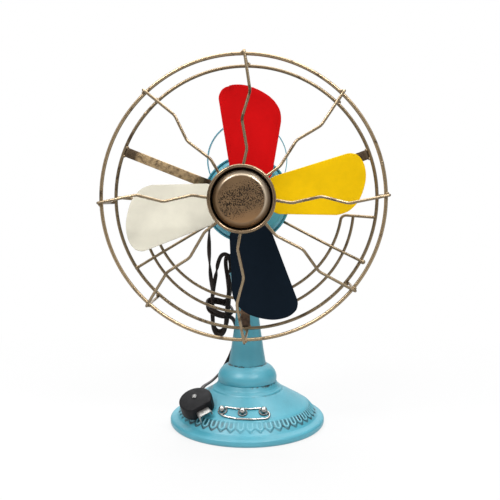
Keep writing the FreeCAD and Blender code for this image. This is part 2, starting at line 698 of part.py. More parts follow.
def make_basket():
    centre = V(*INNER_WIRE_CENTRE, REAR_RING_Z)
    rim = RING_RADIUS - RING_WIRE + 0.1
    corner_y = BASKET_BAR_Y - BASKET_CORNER
    reach = INNER_WIRE_RADIUS + BASKET_CORNER
    edges = []
    across = math.sqrt(reach**2 - (corner_y - centre.y) ** 2)
    right = V(centre.x + across, corner_y, REAR_RING_Z)
    left = V(centre.x - across, corner_y, REAR_RING_Z)
    joins = {}
    for name, pivot, side in (("right", right, 1), ("left", left, -1)):
        inward = (centre - pivot).normalize()
        up = V(0, 1, 0)
        joins[name] = (
            pivot + up * BASKET_CORNER,
            pivot + (inward + up).normalize() * BASKET_CORNER,
            pivot + inward * BASKET_CORNER,
            V(side * math.sqrt(rim**2 - BASKET_BAR_Y**2), BASKET_BAR_Y, REAR_RING_Z),
        )
    bar_end, middle, on_arc, rim_end = joins["right"]
    edges.append(Part.makeLine(rim_end, bar_end))
    edges.append(Part.Arc(bar_end, middle, on_arc).toShape())
    bottom = centre - V(0, INNER_WIRE_RADIUS, 0)
    bar_end, middle, left_arc, rim_end = joins["left"]
    edges.append(Part.Arc(on_arc, bottom, left_arc).toShape())
    edges.append(Part.Arc(left_arc, middle, bar_end).toShape())
    edges.append(Part.makeLine(bar_end, rim_end))
    inner = wire_along(Part.Wire(edges), BASKET_WIRE)
    save("basket_inner_wire", place_head(about_shaft(inner, BASKET_TURN)))
    centre = V(*OUTER_WIRE_CENTRE, REAR_RING_Z)
    end_y = BASKET_BAR_Y - BASKET_WIRE + 0.1
    across = math.sqrt(OUTER_WIRE_RADIUS**2 - (end_y - centre.y) ** 2)
    bow = Part.Arc(
        V(centre.x + across, end_y, REAR_RING_Z), centre - V(0, OUTER_WIRE_RADIUS, 0),
        V(centre.x - across, end_y, REAR_RING_Z)
    )
    outer = wire_along(Part.Wire([bow.toShape()]), BASKET_WIRE)
    save("basket_outer_wire", place_head(about_shaft(outer, BASKET_TURN)))


# ---- lead and plug --------------------------------------------------------------------------
def plug_place():
    """The plug's placement: z through its thickness, the flat side on -y."""
    turn = FreeCAD.Rotation(AXIS_Z, PLUG_LEAN) * FreeCAD.Rotation(AXIS_Y, PLUG_TILT)
    return FreeCAD.Placement(V(*PLUG_SPOT), turn * FreeCAD.Rotation(AXIS_Z, PLUG_TWIST))


def plug_entry(out):
    """A point out from where the lead enters the plug's side."""
    return plug_place().multVec(polar(PLUG_RADIUS + out, PLUG_ENTRY_TURN, PLUG_THICKNESS / 2))


def cord_tube(name, points):
    path, radii = rounded_path(points)
    cord = wire_along(path, CORD_RADIUS)
    print("%s: length %.1f mm, radii %s mm" % (name, path.Length, [round(r, 1) for r in radii]))
    expected = math.pi * CORD_RADIUS**2 * path.Length
    print("%s: volume %.1f mm3, section times length %.1f mm3" % (name, cord.Volume, expected))
    save(name, cord)


def make_lead():
    low, high = GLAND_SPAN
    gland = turned((0, low), (GLAND_RADII[0], low), (GLAND_RADII[1], low + 4.0),
                   (GLAND_RADII[1], high), (0, high))
    gland.translate(V(GLAND_CENTRE[0], GLAND_CENTRE[1], 0))
    gland = gland.cut(place_head(Part.makeCylinder(HOUSING_RADIUS, 60, V(0, 0, -30))))
    save("cord_gland", gland)
    cord_tube("cord_drop", [V(*point) for point in DROP_ROUTE])
    tail = [V(*point) for point in TAIL_ROUTE] + [plug_entry(7.5), plug_entry(0.0)]
    cord_tube("cord_tail", tail)
    path, _ = rounded_path([V(*point) for point in HANK_LOOP], closed=True)
    loop = wire_along(path, HANK_BUNDLE)
    half_width, half_depth, height = HANK_WRAP_SIZE
    wrap = Part.Face(Part.Wire([Part.Ellipse(ORIGIN, half_width, half_depth).toShape()]))
    wrap = wrap.extrude(V(0, 0, height))
    wrap.translate(V(0, 0, -height / 2))
    wrap.rotate(ORIGIN, AXIS_Y, HANK_WRAP_TILT)
    wrap.translate(V(*HANK_WRAP_CENTRE))
    save("cord_hank", loop.fuse(wrap))


def make_plug():
    place = plug_place()
    puck = Part.makeCylinder(PLUG_RADIUS, PLUG_THICKNESS)
    cutter = Part.makeBox(60, 30, 40, V(-30, -PLUG_FLAT - 30, -10))
    puck = puck.cut(cutter)
    puck = puck.makeFillet(1.1, puck.Edges)
    save("plug_body", on_skirt(puck, place))
    rivet = turned((0, 0), (2.7, 0), dome(2.7, 0, 1.0))
    rivet.translate(V(PLUG_RIVET_SPOT[0], PLUG_RIVET_SPOT[1], PLUG_THICKNESS))
    save("plug_rivet", on_skirt(rivet, place))
    left, right = PRONG_SPAN
    top = PLUG_THICKNESS - PRONG_DROP
    width = right - left
    bridge = Part.makeBox(width, PRONG_REACH, PRONG_SHEET,
                          V(left, -PLUG_FLAT - PRONG_REACH, top - PRONG_SHEET))
    legs = []
    for edge, depth in ((left, PRONG_LEGS[0]), (right - PRONG_SHEET, PRONG_LEGS[1])):
        legs.append(Part.makeBox(PRONG_SHEET, PRONG_REACH, depth,
                                 V(edge, -PLUG_FLAT - PRONG_REACH, top - depth)))
    save("plug_prongs", on_skirt(bridge.fuse(legs).removeSplitter(), place))


def main():
    os.makedirs("parts", exist_ok=True)
    make_base()
    make_buttons()
    make_column()
    make_housing()
    make_shaft_line()
    make_blades()
    make_rings()
    make_spokes()
    make_straps()
    make_stays()
    make_basket()
    make_lead()
    make_plug()


main()
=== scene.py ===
import math
import random

import bmesh
import bpy
from mathutils import Matrix, Vector


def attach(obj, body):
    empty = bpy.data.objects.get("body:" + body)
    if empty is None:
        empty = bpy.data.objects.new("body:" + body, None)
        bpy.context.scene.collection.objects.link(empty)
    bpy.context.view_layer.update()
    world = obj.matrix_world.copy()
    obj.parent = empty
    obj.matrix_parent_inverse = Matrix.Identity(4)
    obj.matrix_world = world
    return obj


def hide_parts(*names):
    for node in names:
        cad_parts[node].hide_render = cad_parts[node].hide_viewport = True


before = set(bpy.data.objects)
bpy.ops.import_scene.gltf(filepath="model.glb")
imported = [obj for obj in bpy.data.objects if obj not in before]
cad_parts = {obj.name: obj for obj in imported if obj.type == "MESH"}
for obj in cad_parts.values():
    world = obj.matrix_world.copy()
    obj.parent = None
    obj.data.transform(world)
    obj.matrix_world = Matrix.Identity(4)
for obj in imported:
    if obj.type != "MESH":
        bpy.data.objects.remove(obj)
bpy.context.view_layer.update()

bl_info = {
    "name": "Retro desk fan",
    "version": (1, 0, 0),
    "blender": (4, 5, 0),
    "location": "View3D > Sidebar > Desk fan",
    "description": "Dresses the packed parts of a retro desk fan with its finished surfaces",
    "category": "Object",
}

MM = 0.001
SHAFT_HEIGHT = 223.6

# The lead's route: down from the gland, the hank's turns, its tie, then the tail to the plug.
DROP_ROUTE = (
    (-38.2, 4.0, 200.0), (-38.7, 4.4, 182.0), (-38.8, 6.6, 163.0), (-38.1, 10.6, 147.0),
    (-36.6, 14.4, 133.0),
)
HANK_TURNS = (
    (-36.4, 14.8, 118.0), (-36.3, 14.4, 103.0), (-36.0, 14.2, 91.4), (-32.4, 14.3, 84.0),
    (-26.4, 14.6, 84.0), (-23.0, 15.0, 91.4), (-22.3, 15.4, 106.0), (-20.2, 15.4, 122.0),
    (-19.0, 15.0, 141.0), (-17.2, 15.4, 156.0), (-19.6, 16.2, 166.6), (-26.6, 17.0, 168.0),
    (-30.8, 17.6, 159.6), (-32.8, 17.9, 148.0), (-35.4, 17.6, 134.0), (-37.4, 17.3, 119.0),
    (-36.9, 17.3, 104.0), (-36.4, 17.8, 94.0), (-33.0, 18.2, 87.4), (-26.6, 18.4, 87.4),
    (-22.2, 18.4, 94.0), (-20.9, 18.4, 108.0), (-19.3, 18.2, 124.0), (-21.0, 17.4, 143.0),
    (-23.2, 16.6, 157.0), (-22.6, 18.8, 165.6), (-17.2, 25.4, 165.4), (-17.4, 26.4, 151.0),
    (-18.4, 24.6, 136.0),
)
TIE_TURN = (
    (-19.8, 24.6, 122.0), (-24.4, 27.0, 116.8), (-32.6, 26.8, 119.2), (-39.8, 23.4, 120.4),
    (-42.8, 16.8, 118.2), (-40.0, 10.2, 114.0), (-32.4, 7.8, 109.4), (-24.0, 7.8, 106.4),
    (-17.8, 10.8, 106.6), (-15.6, 17.0, 109.0), (-18.4, 23.6, 112.2), (-24.6, 26.6, 114.2),
    (-33.0, 26.4, 116.4), (-39.6, 23.2, 116.8), (-42.4, 16.8, 113.8), (-39.6, 10.6, 109.6),
    (-32.6, 8.6, 106.2), (-25.2, 9.4, 103.8),
)
TAIL_ROUTE = (
    (-18.6, 13.2, 104.2), (-13.8, 19.4, 98.0), (-11.6, 23.4, 86.0), (-14.5, 25.6, 72.0),
    (-19.5, 29.0, 58.5), (-25.5, 29.5, 46.5), (-33.0, 19.5, 38.8), (-38.2, 4.5, 37.0),
)

# Where the flat lead rolls over, in metres along it, and by how many half turns.
FLEX_TWISTS = ((-0.0085, 0.0905, 3), (0.219, 0.240, 1), (0.400, 0.420, 1),
               (0.618, 0.638, 0.5))


# ---- sizes and colours a user may change ---------------------------------------------------
def colour(name, description, value):
    return bpy.props.FloatVectorProperty(
        name=name, description=description, subtype="COLOR", size=3, min=0.0, max=1.0, default=value
    )


def length(name, description, value):
    return bpy.props.FloatProperty(
        name=name, description=description, subtype="DISTANCE", unit="LENGTH", min=0.0,
        default=value, precision=5
    )


class FanFinish(bpy.types.PropertyGroup):
    """The finishes of the fan."""
    enamel: colour("Stand enamel", "Colour of the stand and the housing", (0.068, 0.328, 0.418))
    red: colour("Red blade", "Enamel of the upper blade", (0.52, 0.0035, 0.0045))
    yellow: colour("Yellow blade", "Enamel of the right blade", (0.82, 0.505, 0.002))
    navy: colour("Navy blade", "Enamel of the lower blade", (0.0050, 0.0098, 0.0165))
    cream: colour("Cream blade", "Enamel of the left blade", (0.565, 0.54, 0.45))
    bronze: colour("Bronze wire", "Lacquered bronze of the cage", (0.40, 0.295, 0.175))
    bronze_dark: colour("Dark bronze", "Patina in the bronze", (0.060, 0.036, 0.020))
    flex: colour("Flex", "Sheath of the lead", (0.016, 0.0100, 0.0078))
    plug: colour("Plug", "Moulding of the plug", (0.0062, 0.0060, 0.0070))


class FanSizes(bpy.types.PropertyGroup):
    """The sizes that belong to the finished surfaces only."""
    flex_width: length("Flex width", "Width of the flat lead", 0.0042)
    flex_thickness: length("Flex thickness", "Thickness of the flat lead", 0.0022)
    petal_count: bpy.props.IntProperty(
        name="Petals", description="Embossed petals round the base", default=46, min=3
    )
    petal_height: length("Petal height", "How far a petal stands out of the base", 0.0011)


# ---- frames of reference --------------------------------------------------------------------
def polar(radius, angle):
    """How far across and how far up a radius reaches at an angle."""
    return radius * math.cos(angle), radius * math.sin(angle)


def turned(degrees, axis, size=4):
    """A turn about an axis."""
    return Matrix.Rotation(math.radians(degrees), size, axis)


def share_of(value, whole):
    """How much of the whole a value is, kept between 0 and 1."""
    return max(0.0, min(1.0, value / whole))


def head(x, y, z):
    """A point in head axes: right, up and forward along the shaft, in millimetres."""
    return Vector((x, -z, y + SHAFT_HEIGHT)) * MM


def on_head(radius, degrees, z):
    """A point round the shaft, in head axes."""
    return head(*polar(radius, math.radians(degrees)), z)


def upright(x, y, z):
    """A point in the frame's own axes, in millimetres."""
    return Vector((x, y, z)) * MM


HEAD_PLACE = Matrix.Translation((0, 0, SHAFT_HEIGHT * MM)) @ turned(90, "X")

SKIRT_TOP = (35.0, 34.2)
SKIRT_END = (58.8, 20.7)
SKIRT_SLOPE = math.atan2(SKIRT_TOP[1] - SKIRT_END[1], SKIRT_END[0] - SKIRT_TOP[0])


def skirt_place(reach, aside, lift=0.0):
    """A placement on the skirt, so far aside from its front: z out of it and x downhill."""
    angle = math.radians(aside - 90)
    height = SKIRT_TOP[1] - (reach - SKIRT_TOP[0]) * math.tan(SKIRT_SLOPE)
    turn = Matrix.Rotation(angle, 4, "Z") @ Matrix.Rotation(SKIRT_SLOPE, 4, "Y")
    spot = upright(*polar(reach, angle), height)
    return Matrix.Translation(spot + turn @ Vector((0, 0, lift * MM))) @ turn


# ---- mesh helpers ---------------------------------------------------------------------------
def plain(form, name="form"):
    """The plain mesh of a bmesh, which ends with it."""
    mesh = bpy.data.meshes.new(name)
    form.to_mesh(mesh)
    form.free()
    return mesh


def taken(*meshes):
    """One bmesh of several meshes, each already in its place."""
    form = bmesh.new()
    for mesh in meshes:
        form.from_mesh(mesh)
        bpy.data.meshes.remove(mesh)
    return form


def finish_mesh(mesh, sharp=35.0):
    """Smooth faces with a crease wherever the surface turns by more than the angle."""
    for face in mesh.polygons:
        face.use_smooth = True
    mesh.set_sharp_from_angle(angle=math.radians(sharp))


def mesh_from(form, place=None, sharp=35.0):
    """The finished mesh of a bmesh, with its faces pointing out."""
    bmesh.ops.remove_doubles(form, verts=form.verts, dist=1e-7)
    bmesh.ops.recalc_face_normals(form, faces=form.faces)
    mesh = plain(form)
    if place is not None:
        mesh.transform(place)
    finish_mesh(mesh, sharp)
    return mesh


def new_piece(name, mesh, finish, *replaced, body="stand"):
    """A finished piece that rides on its body in place of the nodes it replaces."""
    piece = bpy.data.objects.new(name, mesh)
    bpy.context.scene.collection.objects.link(piece)
    mesh.materials.clear()
    mesh.materials.append(stock(finish))
    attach(piece, body)
    if replaced:
        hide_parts(*replaced)
    return piece


def rounded(points, radius, steps=5, closed=False):
    """A line with its corners turned into arcs. A list of radii gives each corner its own."""
    points = [Vector(p) for p in points]
    count = len(points)
    radii = list(radius) if isinstance(radius, (list, tuple)) else [radius] * count
    line = []
    for i, corner in enumerate(points):
        ends = not closed and i in (0, count - 1)
        back = points[i - 1] - corner
        ahead = points[(i + 1) % count] - corner
        half = 0.0
        if not ends and radii[i] > 0 and min(back.length, ahead.length) >= 1e-9:
            half = (math.pi - back.angle(ahead)) / 2
        if half < 0.01:
            line.append(corner)
            continue
        reach = min(radii[i] * math.tan(half), 0.49 * back.length, 0.49 * ahead.length)
        bend = reach / math.tan(half)
        back.normalize()
        ahead.normalize()
        inward = (back + ahead).normalized()
        centre = corner + inward * (bend / math.cos(half))
        first = corner + back * reach - centre
        turn = first.cross(corner + ahead * reach - centre).normalized()
        for step in range(steps + 1):
            line.append(centre + Matrix.Rotation(2 * half * step / steps, 3, turn) @ first)
    return line


def outline_of(points, radii, steps=4, closed=True):
    """A turned form's outline with rounded edges, as (radius, height) in millimetres."""
    line = rounded([(r, z, 0) for r, z in points], radii, steps, closed)
    return [(max(p.x, 0.0), p.y) for p in line]


def spun(outline, sides=96, closed=True, place=None, tint=None, around=None):
    """A turned form. The outline holds (radius, height) in millimetres, anticlockwise.

    tint is the dark held at each outline point: dirt in seams and painted shade in grooves, gaps
    and under steps; around(angle) its share round the axis.
    """
    form = bmesh.new()
    shade = form.verts.layers.float.new("tint") if tint else None
    angles = [2 * math.pi * side / sides for side in range(sides)]
    rings = []
    for number, (radius, height) in enumerate(outline):
        if radius < 1e-6:
            ring = [form.verts.new((0, 0, height * MM))]
        else:
            ring = [form.verts.new((*polar(radius * MM, angle), height * MM))
                    for angle in angles]
        if shade:
            for angle, vert in zip(angles, ring):
                vert[shade] = tint[number] * (around(angle, height) if around else 1.0)
        rings.append(ring)
    pairs = list(zip(rings, rings[1:]))
    if closed:
        pairs.append((rings[-1], rings[0]))
    for low, high in pairs:
        for side in range(sides):
            after = (side + 1) % sides
            face = []
            for vert in (low[side % len(low)], low[after % len(low)], high[after % len(high)],
                         high[side % len(high)]):
                if vert not in face:
                    face.append(vert)
            if len(face) > 2:
                form.faces.new(face)
    return mesh_from(form, place)


def heading_at(line, i):
    """The way a line of points runs at one of them."""
    return (line[min(i + 1, len(line) - 1)] - line[max(i - 1, 0)]).normalized()


def skin(form, rings, capped=False):
    """Faces between neighbouring rings of points, and over the two ends."""
    for low, high in zip(rings, rings[1:]):
        for i in range(len(low)):
            after = (i + 1) % len(low)
            form.faces.new((low[i], low[after], high[after], high[i]))
    if capped:
        form.faces.new(rings[0])
        form.faces.new(list(reversed(rings[-1])))


def strip(line, across, width, sheet, edge):
    """A flat bent strip along a line in metres, with rounded edges. across is its width's way."""
    form = bmesh.new()
    across = Vector(across).normalized()
    half, thick = width / 2 * MM, sheet / 2 * MM
    section = rounded([(half, thick, 0), (-half, thick, 0), (-half, -thick, 0),
                       (half, -thick, 0)], edge * MM, 3, True)
    rings = []
    for i, point in enumerate(line):
        up = heading_at(line, i).cross(across).normalized()
        rings.append([form.verts.new(point + across * s.x + up * s.y) for s in section])
    skin(form, rings, True)
    return mesh_from(form)


def plate(outline, low, high, edge, place, worn=0.0):
    """A flat plate from an outline in millimetres, with its rims rounded over.

    worn is how far in from the rim the plate's rim attribute fades out.
    """
    form = bmesh.new()
    face = form.faces.new([form.verts.new((p.x * MM, p.y * MM, low * MM)) for p in outline])
    raised = bmesh.ops.extrude_face_region(form, geom=[face])
    moved = [v for v in raised["geom"] if isinstance(v, bmesh.types.BMVert)]
    bmesh.ops.translate(form, verts=moved, vec=(0, 0, (high - low) * MM))
    bmesh.ops.recalc_face_normals(form, faces=form.faces)
    rims = [e for e in form.edges if e.is_manifold and e.calc_face_angle(0) > 1.2
            and abs(e.verts[0].co.z - e.verts[1].co.z) < 1e-6]
    bmesh.ops.bevel(form, geom=rims, offset=edge * MM, segments=3, profile=0.5,
                    affect="EDGES", clamp_overlap=True)
    if worn:
        rim = form.verts.layers.float.new("rim")
        for vert in form.verts:
            vert[rim] = 1.0
        broad = [f for f in form.faces if len(f.verts) > 8]
        bmesh.ops.inset_individual(form, faces=broad, thickness=worn * MM,
                                   use_even_offset=True)
        for face in form.faces:
            if len(face.verts) > 8:
                for vert in face.verts:
                    vert[rim] = 0.0
    return mesh_from(form, place, 40.0)


# ---- geometry node trees --------------------------------------------------------------------
def add(tree, kind, inputs=None, **settings):
    """A node with its settings, and its inputs set or linked."""
    made = tree.nodes.new(kind)
    for name, value in settings.items():
        setattr(made, name, value)
    for name, value in (inputs or {}).items():
        socket = made.inputs[name]
        if isinstance(value, bpy.types.NodeSocket):
            tree.links.new(value, socket)
        else:
            socket.default_value = value
    return made


def new_tree(name, sockets):
    """A geometry tree with a mesh in and out, and named inputs."""
    tree = bpy.data.node_groups.new(name, "GeometryNodeTree")
    tree.interface.new_socket("Geometry", in_out="INPUT", socket_type="NodeSocketGeometry")
    for label, kind in sockets:
        tree.interface.new_socket(label, in_out="INPUT", socket_type=kind)
    tree.interface.new_socket("Geometry", in_out="OUTPUT", socket_type="NodeSocketGeometry")
    start = tree.nodes.new("NodeGroupInput")
    end = tree.nodes.new("NodeGroupOutput")
    return tree, start.outputs, end.inputs["Geometry"]


def close_tree(tree, geometry, material, end):
    real = add(tree, "GeometryNodeRealizeInstances", {"Geometry": geometry})
    faced = add(tree, "GeometryNodeSetMaterial",
                {"Geometry": real.outputs[0], "Material": material})
    tree.links.new(faced.outputs[0], end)
    return tree


def wire_tree():
    """Round wire along a line of points. Each point's bend attribute is its corner radius."""
    tree, given, end = new_tree("bent_wire", (
        ("Wire radius", "NodeSocketFloat"), ("Sides", "NodeSocketInt"),
        ("Closed ends", "NodeSocketBool"), ("Material", "NodeSocketMaterial"),
    ))
    bend = add(tree, "GeometryNodeInputNamedAttribute", {"Name": "bend"}, data_type="FLOAT")
    line = add(tree, "GeometryNodeMeshToCurve", {"Mesh": given["Geometry"]})
    bent = add(tree, "GeometryNodeFilletCurve",
               {"Curve": line.outputs[0], "Count": 6, "Radius": bend.outputs["Attribute"],
                "Limit Radius": True}, mode="POLY")
    section = add(tree, "GeometryNodeCurvePrimitiveCircle",
                  {"Resolution": given["Sides"], "Radius": given["Wire radius"]})
    wire = add(tree, "GeometryNodeCurveToMesh",
               {"Curve": bent.outputs[0], "Profile Curve": section.outputs[0],
                "Fill Caps": given["Closed ends"]})
    return close_tree(tree, wire.outputs[0], given["Material"], end)


def repeat_tree():
    """A small part set on every point, standing along the point's facing attribute."""
    tree, given, end = new_tree("repeated_part", (
        ("Part", "NodeSocketObject"), ("Least size", "NodeSocketFloat"),
        ("Greatest size", "NodeSocketFloat"), ("Seed", "NodeSocketInt"),
        ("Material", "NodeSocketMaterial"),
    ))
    facing = add(tree, "GeometryNodeInputNamedAttribute", {"Name": "facing"},
                 data_type="FLOAT_VECTOR")
    part = add(tree, "GeometryNodeObjectInfo", {"Object": given["Part"]})
    points = add(tree, "GeometryNodeMeshToPoints", {"Mesh": given["Geometry"]})
    stand = add(tree, "FunctionNodeAlignRotationToVector",
                {"Vector": facing.outputs["Attribute"]}, axis="Z")
    spin = add(tree, "FunctionNodeRandomValue", {2: 0.0, 3: 2 * math.pi, "Seed": given["Seed"]},
               data_type="FLOAT")
    size = add(tree, "FunctionNodeRandomValue",
               {2: given["Least size"], 3: given["Greatest size"], "Seed": given["Seed"]},
               data_type="FLOAT")
    twist = add(tree, "FunctionNodeAxisAngleToRotation",
                {"Axis": (0, 0, 1), "Angle": spin.outputs[1]})
    turned = add(tree, "FunctionNodeRotateRotation",
                 {"Rotation": stand.outputs[0], "Rotate By": twist.outputs[0]},
                 rotation_space="LOCAL")
    copies = add(tree, "GeometryNodeInstanceOnPoints",
                 {"Points": points.outputs[0], "Instance": part.outputs["Geometry"],
                  "Rotation": turned.outputs[0], "Scale": size.outputs[1]})
    return close_tree(tree, copies.outputs[0], given["Material"], end)


def ring_tree():
    """Copies of the mesh set evenly round the upright axis."""
    tree, given, end = new_tree("round_row", (
        ("Count", "NodeSocketInt"), ("Material", "NodeSocketMaterial"),
    ))
    spots = add(tree, "GeometryNodeMeshLine", {"Count": given["Count"], "Offset": (0, 0, 0)})
    number = add(tree, "GeometryNodeInputIndex")
    share = add(tree, "ShaderNodeMath", {0: number.outputs[0], 1: given["Count"]},
                operation="DIVIDE")
    angle = add(tree, "ShaderNodeMath", {0: share.outputs[0], 1: 2 * math.pi},
                operation="MULTIPLY")
    turn = add(tree, "FunctionNodeAxisAngleToRotation",
               {"Axis": (0, 0, 1), "Angle": angle.outputs[0]})
    copies = add(tree, "GeometryNodeInstanceOnPoints",
                 {"Points": spots.outputs[0], "Instance": given["Geometry"],
                  "Rotation": turn.outputs[0]})
    return close_tree(tree, copies.outputs[0], given["Material"], end)


def tree_named(name, build):
    return bpy.data.node_groups.get(name) or build()


def grown(mesh, tree, values):
    """The plain mesh that a tree makes of this one."""
    carrier = bpy.data.objects.new("carrier", mesh)
    bpy.context.scene.collection.objects.link(carrier)
    work = carrier.modifiers.new("work", "NODES")
    work.node_group = tree
    for item in tree.interface.items_tree:
        if item.in_out == "INPUT" and item.name in values:
            work[item.identifier] = values[item.name]
    carrier.update_tag()
    graph = bpy.context.evaluated_depsgraph_get()
    graph.update()
    result = bpy.data.meshes.new_from_object(carrier.evaluated_get(graph))
    bpy.data.objects.remove(carrier)
    if not result.polygons:
        raise RuntimeError("tree %s made no faces" % tree.name)
    finish_mesh(result)
    return result


def unbent(points):
    """A line for wires, with no bend of its own at any point."""
    return [(point, 0.0) for point in points]


def wires(lines, radius, finish, sides=12, closed=False):
    """Round wires of a radius in millimetres along lines of (point, bend radius) in metres."""
    mesh = bpy.data.meshes.new("lines")
    points, edges, bends = [], [], []
    for line in lines:
        base = len(points)
        points += [point for point, _ in line]
        bends += [bend for _, bend in line]
        edges += [(base + i, base + i + 1) for i in range(len(line) - 1)]
        if closed:
            edges.append((base + len(line) - 1, base))
    mesh.from_pydata(points, edges, [])
    mesh.attributes.new("bend", "FLOAT", "POINT").data.foreach_set("value", bends)
    return grown(mesh, tree_named("bent_wire", wire_tree), {
        "Wire radius": radius * MM, "Sides": sides, "Closed ends": not closed,
        "Material": stock(finish),
    })


def repeated(part, spots, finish, least=1.0, greatest=1.0, seed=1):
    """Copies of a small part on (point, facing) spots."""
    pattern = bpy.data.objects.new("pattern", part)
    bpy.context.scene.collection.objects.link(pattern)
    mesh = bpy.data.meshes.new("spots")
    mesh.from_pydata([point for point, _ in spots], [], [])
    attribute = mesh.attributes.new("facing", "FLOAT_VECTOR", "POINT")
    attribute.data.foreach_set("vector", [value for _, facing in spots for value in facing])
    result = grown(mesh, tree_named("repeated_part", repeat_tree), {
        "Part": pattern, "Least size": least, "Greatest size": greatest, "Seed": seed,
        "Material": stock(finish),
    })
    bpy.data.objects.remove(pattern)
    return result


# ---- shader groups --------------------------------------------------------------------------
def noise(tree, where, scale, detail=4.0, rough=0.6, distortion=0.0):
    return add(tree, "ShaderNodeTexNoise",
               {"Vector": where, "Scale": scale, "Detail": detail, "Roughness": rough,
                "Distortion": distortion}).outputs["Fac"]


def remap(tree, value, low, high, to_low=0.0, to_high=1.0):
    return add(tree, "ShaderNodeMapRange",
               {"Value": value, "From Min": low, "From Max": high, "To Min": to_low,
                "To Max": to_high}).outputs["Result"]


def maths(tree, operation, first, second=0.0, clamp=False):
    return add(tree, "ShaderNodeMath", {0: first, 1: second}, operation=operation,
               use_clamp=clamp).outputs[0]


def times(tree, first, second):
    """A product kept between 0 and 1."""
    return maths(tree, "MULTIPLY", first, second, True)


def vector(tree, operation, first, second=(0.0, 0.0, 0.0)):
    """A vector sum, product or length; a length or dot product comes as a value."""
    made = add(tree, "ShaderNodeVectorMath", {0: first, 1: second}, operation=operation)
    return made.outputs["Value" if operation in ("LENGTH", "DOT_PRODUCT") else "Vector"]


# Where the mix node has its two colours and the colour that comes of them.
MIX_FIRST, MIX_SECOND, MIX_RESULT = 6, 7, 2


def mixed(tree, share, first, second):
    """A mix of two colours, by the share of the second."""
    return add(tree, "ShaderNodeMix", {0: share, MIX_FIRST: first, MIX_SECOND: second},
               data_type="RGBA").outputs[MIX_RESULT]


def laid(tree, base, mask, amount, over):
    """A colour laid over another by a mask and an amount."""
    return mixed(tree, times(tree, mask, amount), base, over)


def held(tree, name):
    """A mask that the surface itself holds under this name."""
    return add(tree, "ShaderNodeAttribute", attribute_name=name).outputs["Fac"]


def build_patches(tree, given):
    """Soft patches and a finer grain for uneven finishes."""
    broad = noise(tree, given["Vector"], given["Scale"], 5.0, 0.62, 0.3)
    finer = maths(tree, "MULTIPLY", given["Scale"], 9.0)
    return {"Mask": remap(tree, broad, 0.38, 0.66),
            "Fine": noise(tree, given["Vector"], finer, 3.0, 0.7)}


def build_joint_soil_and_shade(tree, given):
    """Dark dirt in a seam and painted shade in a recess: the depth mask comes from the surface,
    torn by noise.
    """
    edge = noise(tree, given["Vector"], given["Scale"], 6.0, 0.7, 0.5)
    torn = times(tree, remap(tree, edge, 0.36, 0.62), given["Depth"])
    return {"Mask": remap(tree, torn, 0.22, 0.62)}


def build_chips(tree, given):
    """Paint chipped off along a rim: the rim mask comes from the surface, torn by noise."""
    torn = noise(tree, given["Vector"], given["Scale"], 4.0, 0.65, 0.4)
    reach = times(tree, given["Rim"], given["Amount"])
    return {"Mask": remap(tree, maths(tree, "ADD", torn, reach), 0.965, 1.0)}


def build_painted_lit_side(tree, given):
    """Where a wire's surface faces up and forward: the side painted as lit."""
    up = vector(tree, "DOT_PRODUCT", given["Normal"], (0.0, -0.42, 0.9))
    return {"Mask": remap(tree, up, -0.55, 0.75)}


# Each group's builder, its inputs with their first values (none for a vector) and its outputs.
GROUPS = {
    "uneven_patches": (build_patches, {"Vector": None, "Scale": 40.0}, ("Mask", "Fine")),
    "seam_grime": (build_joint_soil_and_shade, {"Vector": None, "Scale": 400.0, "Depth": 0.0}, ("Mask",)),
    "rim_chips": (build_chips, {"Vector": None, "Scale": 400.0, "Rim": 0.0, "Amount": 0.3},
                  ("Mask",)),
    "rubbed_crown": (build_painted_lit_side, {"Normal": None}, ("Mask",)),
}


def effect(tree, name, **inputs):
    """The outputs of a shared shader group, which is built when it is first asked for."""
    group = bpy.data.node_groups.get(name)
    if not group:
        build, given, results = GROUPS[name]
        group = bpy.data.node_groups.new(name, "ShaderNodeTree")
        for label, value in given.items():
            kind = "NodeSocketVector" if value is None else "NodeSocketFloat"
            socket = group.interface.new_socket(label, in_out="INPUT", socket_type=kind)
            if value is not None:
                socket.default_value = value
        for label in results:
            group.interface.new_socket(label, in_out="OUTPUT", socket_type="NodeSocketFloat")
        start = group.nodes.new("NodeGroupInput")
        end = group.nodes.new("NodeGroupOutput")
        for label, socket in build(group, start.outputs).items():
            group.links.new(socket, end.inputs[label])
    return add(tree, "ShaderNodeGroup", inputs, node_tree=group).outputs


# ---- finishes -------------------------------------------------------------------------------
WHITE = (1.0, 1.0, 1.0, 1.0)
# Black painted into grooves and gaps as shade.
SHADOW_BLACK = (0.008, 0.006, 0.005, 1.0)


def rgba(value, factor=1.0):
    """A colour with its alpha, made lighter or darker by a factor."""
    return tuple(min(1.0, channel * factor) for channel in value[:3]) + (1.0,)


def new_material(name, **fixed):
    """A material with its shader, and the sockets that are the same all over set on it."""
    material = bpy.data.materials.new(name)
    material.use_nodes = True
    tree = material.node_tree
    shader = tree.nodes["Principled BSDF"]
    for label, value in fixed.items():
        shader.inputs[label.replace("_", " ")].default_value = value
    where = tree.nodes.new("ShaderNodeTexCoord").outputs["Object"]
    return material, tree, shader, where


def dress(tree, shader, base, rough, height, strength, distance=0.0002):
    """Join a finish's colour, roughness and grain to its shader."""
    grain = add(tree, "ShaderNodeBump", {"Height": height, "Strength": strength,
                                         "Distance": distance})
    tree.links.new(base, shader.inputs["Base Color"])
    tree.links.new(grain.outputs[0], shader.inputs["Normal"])
    if rough:
        tree.links.new(rough, shader.inputs["Roughness"])


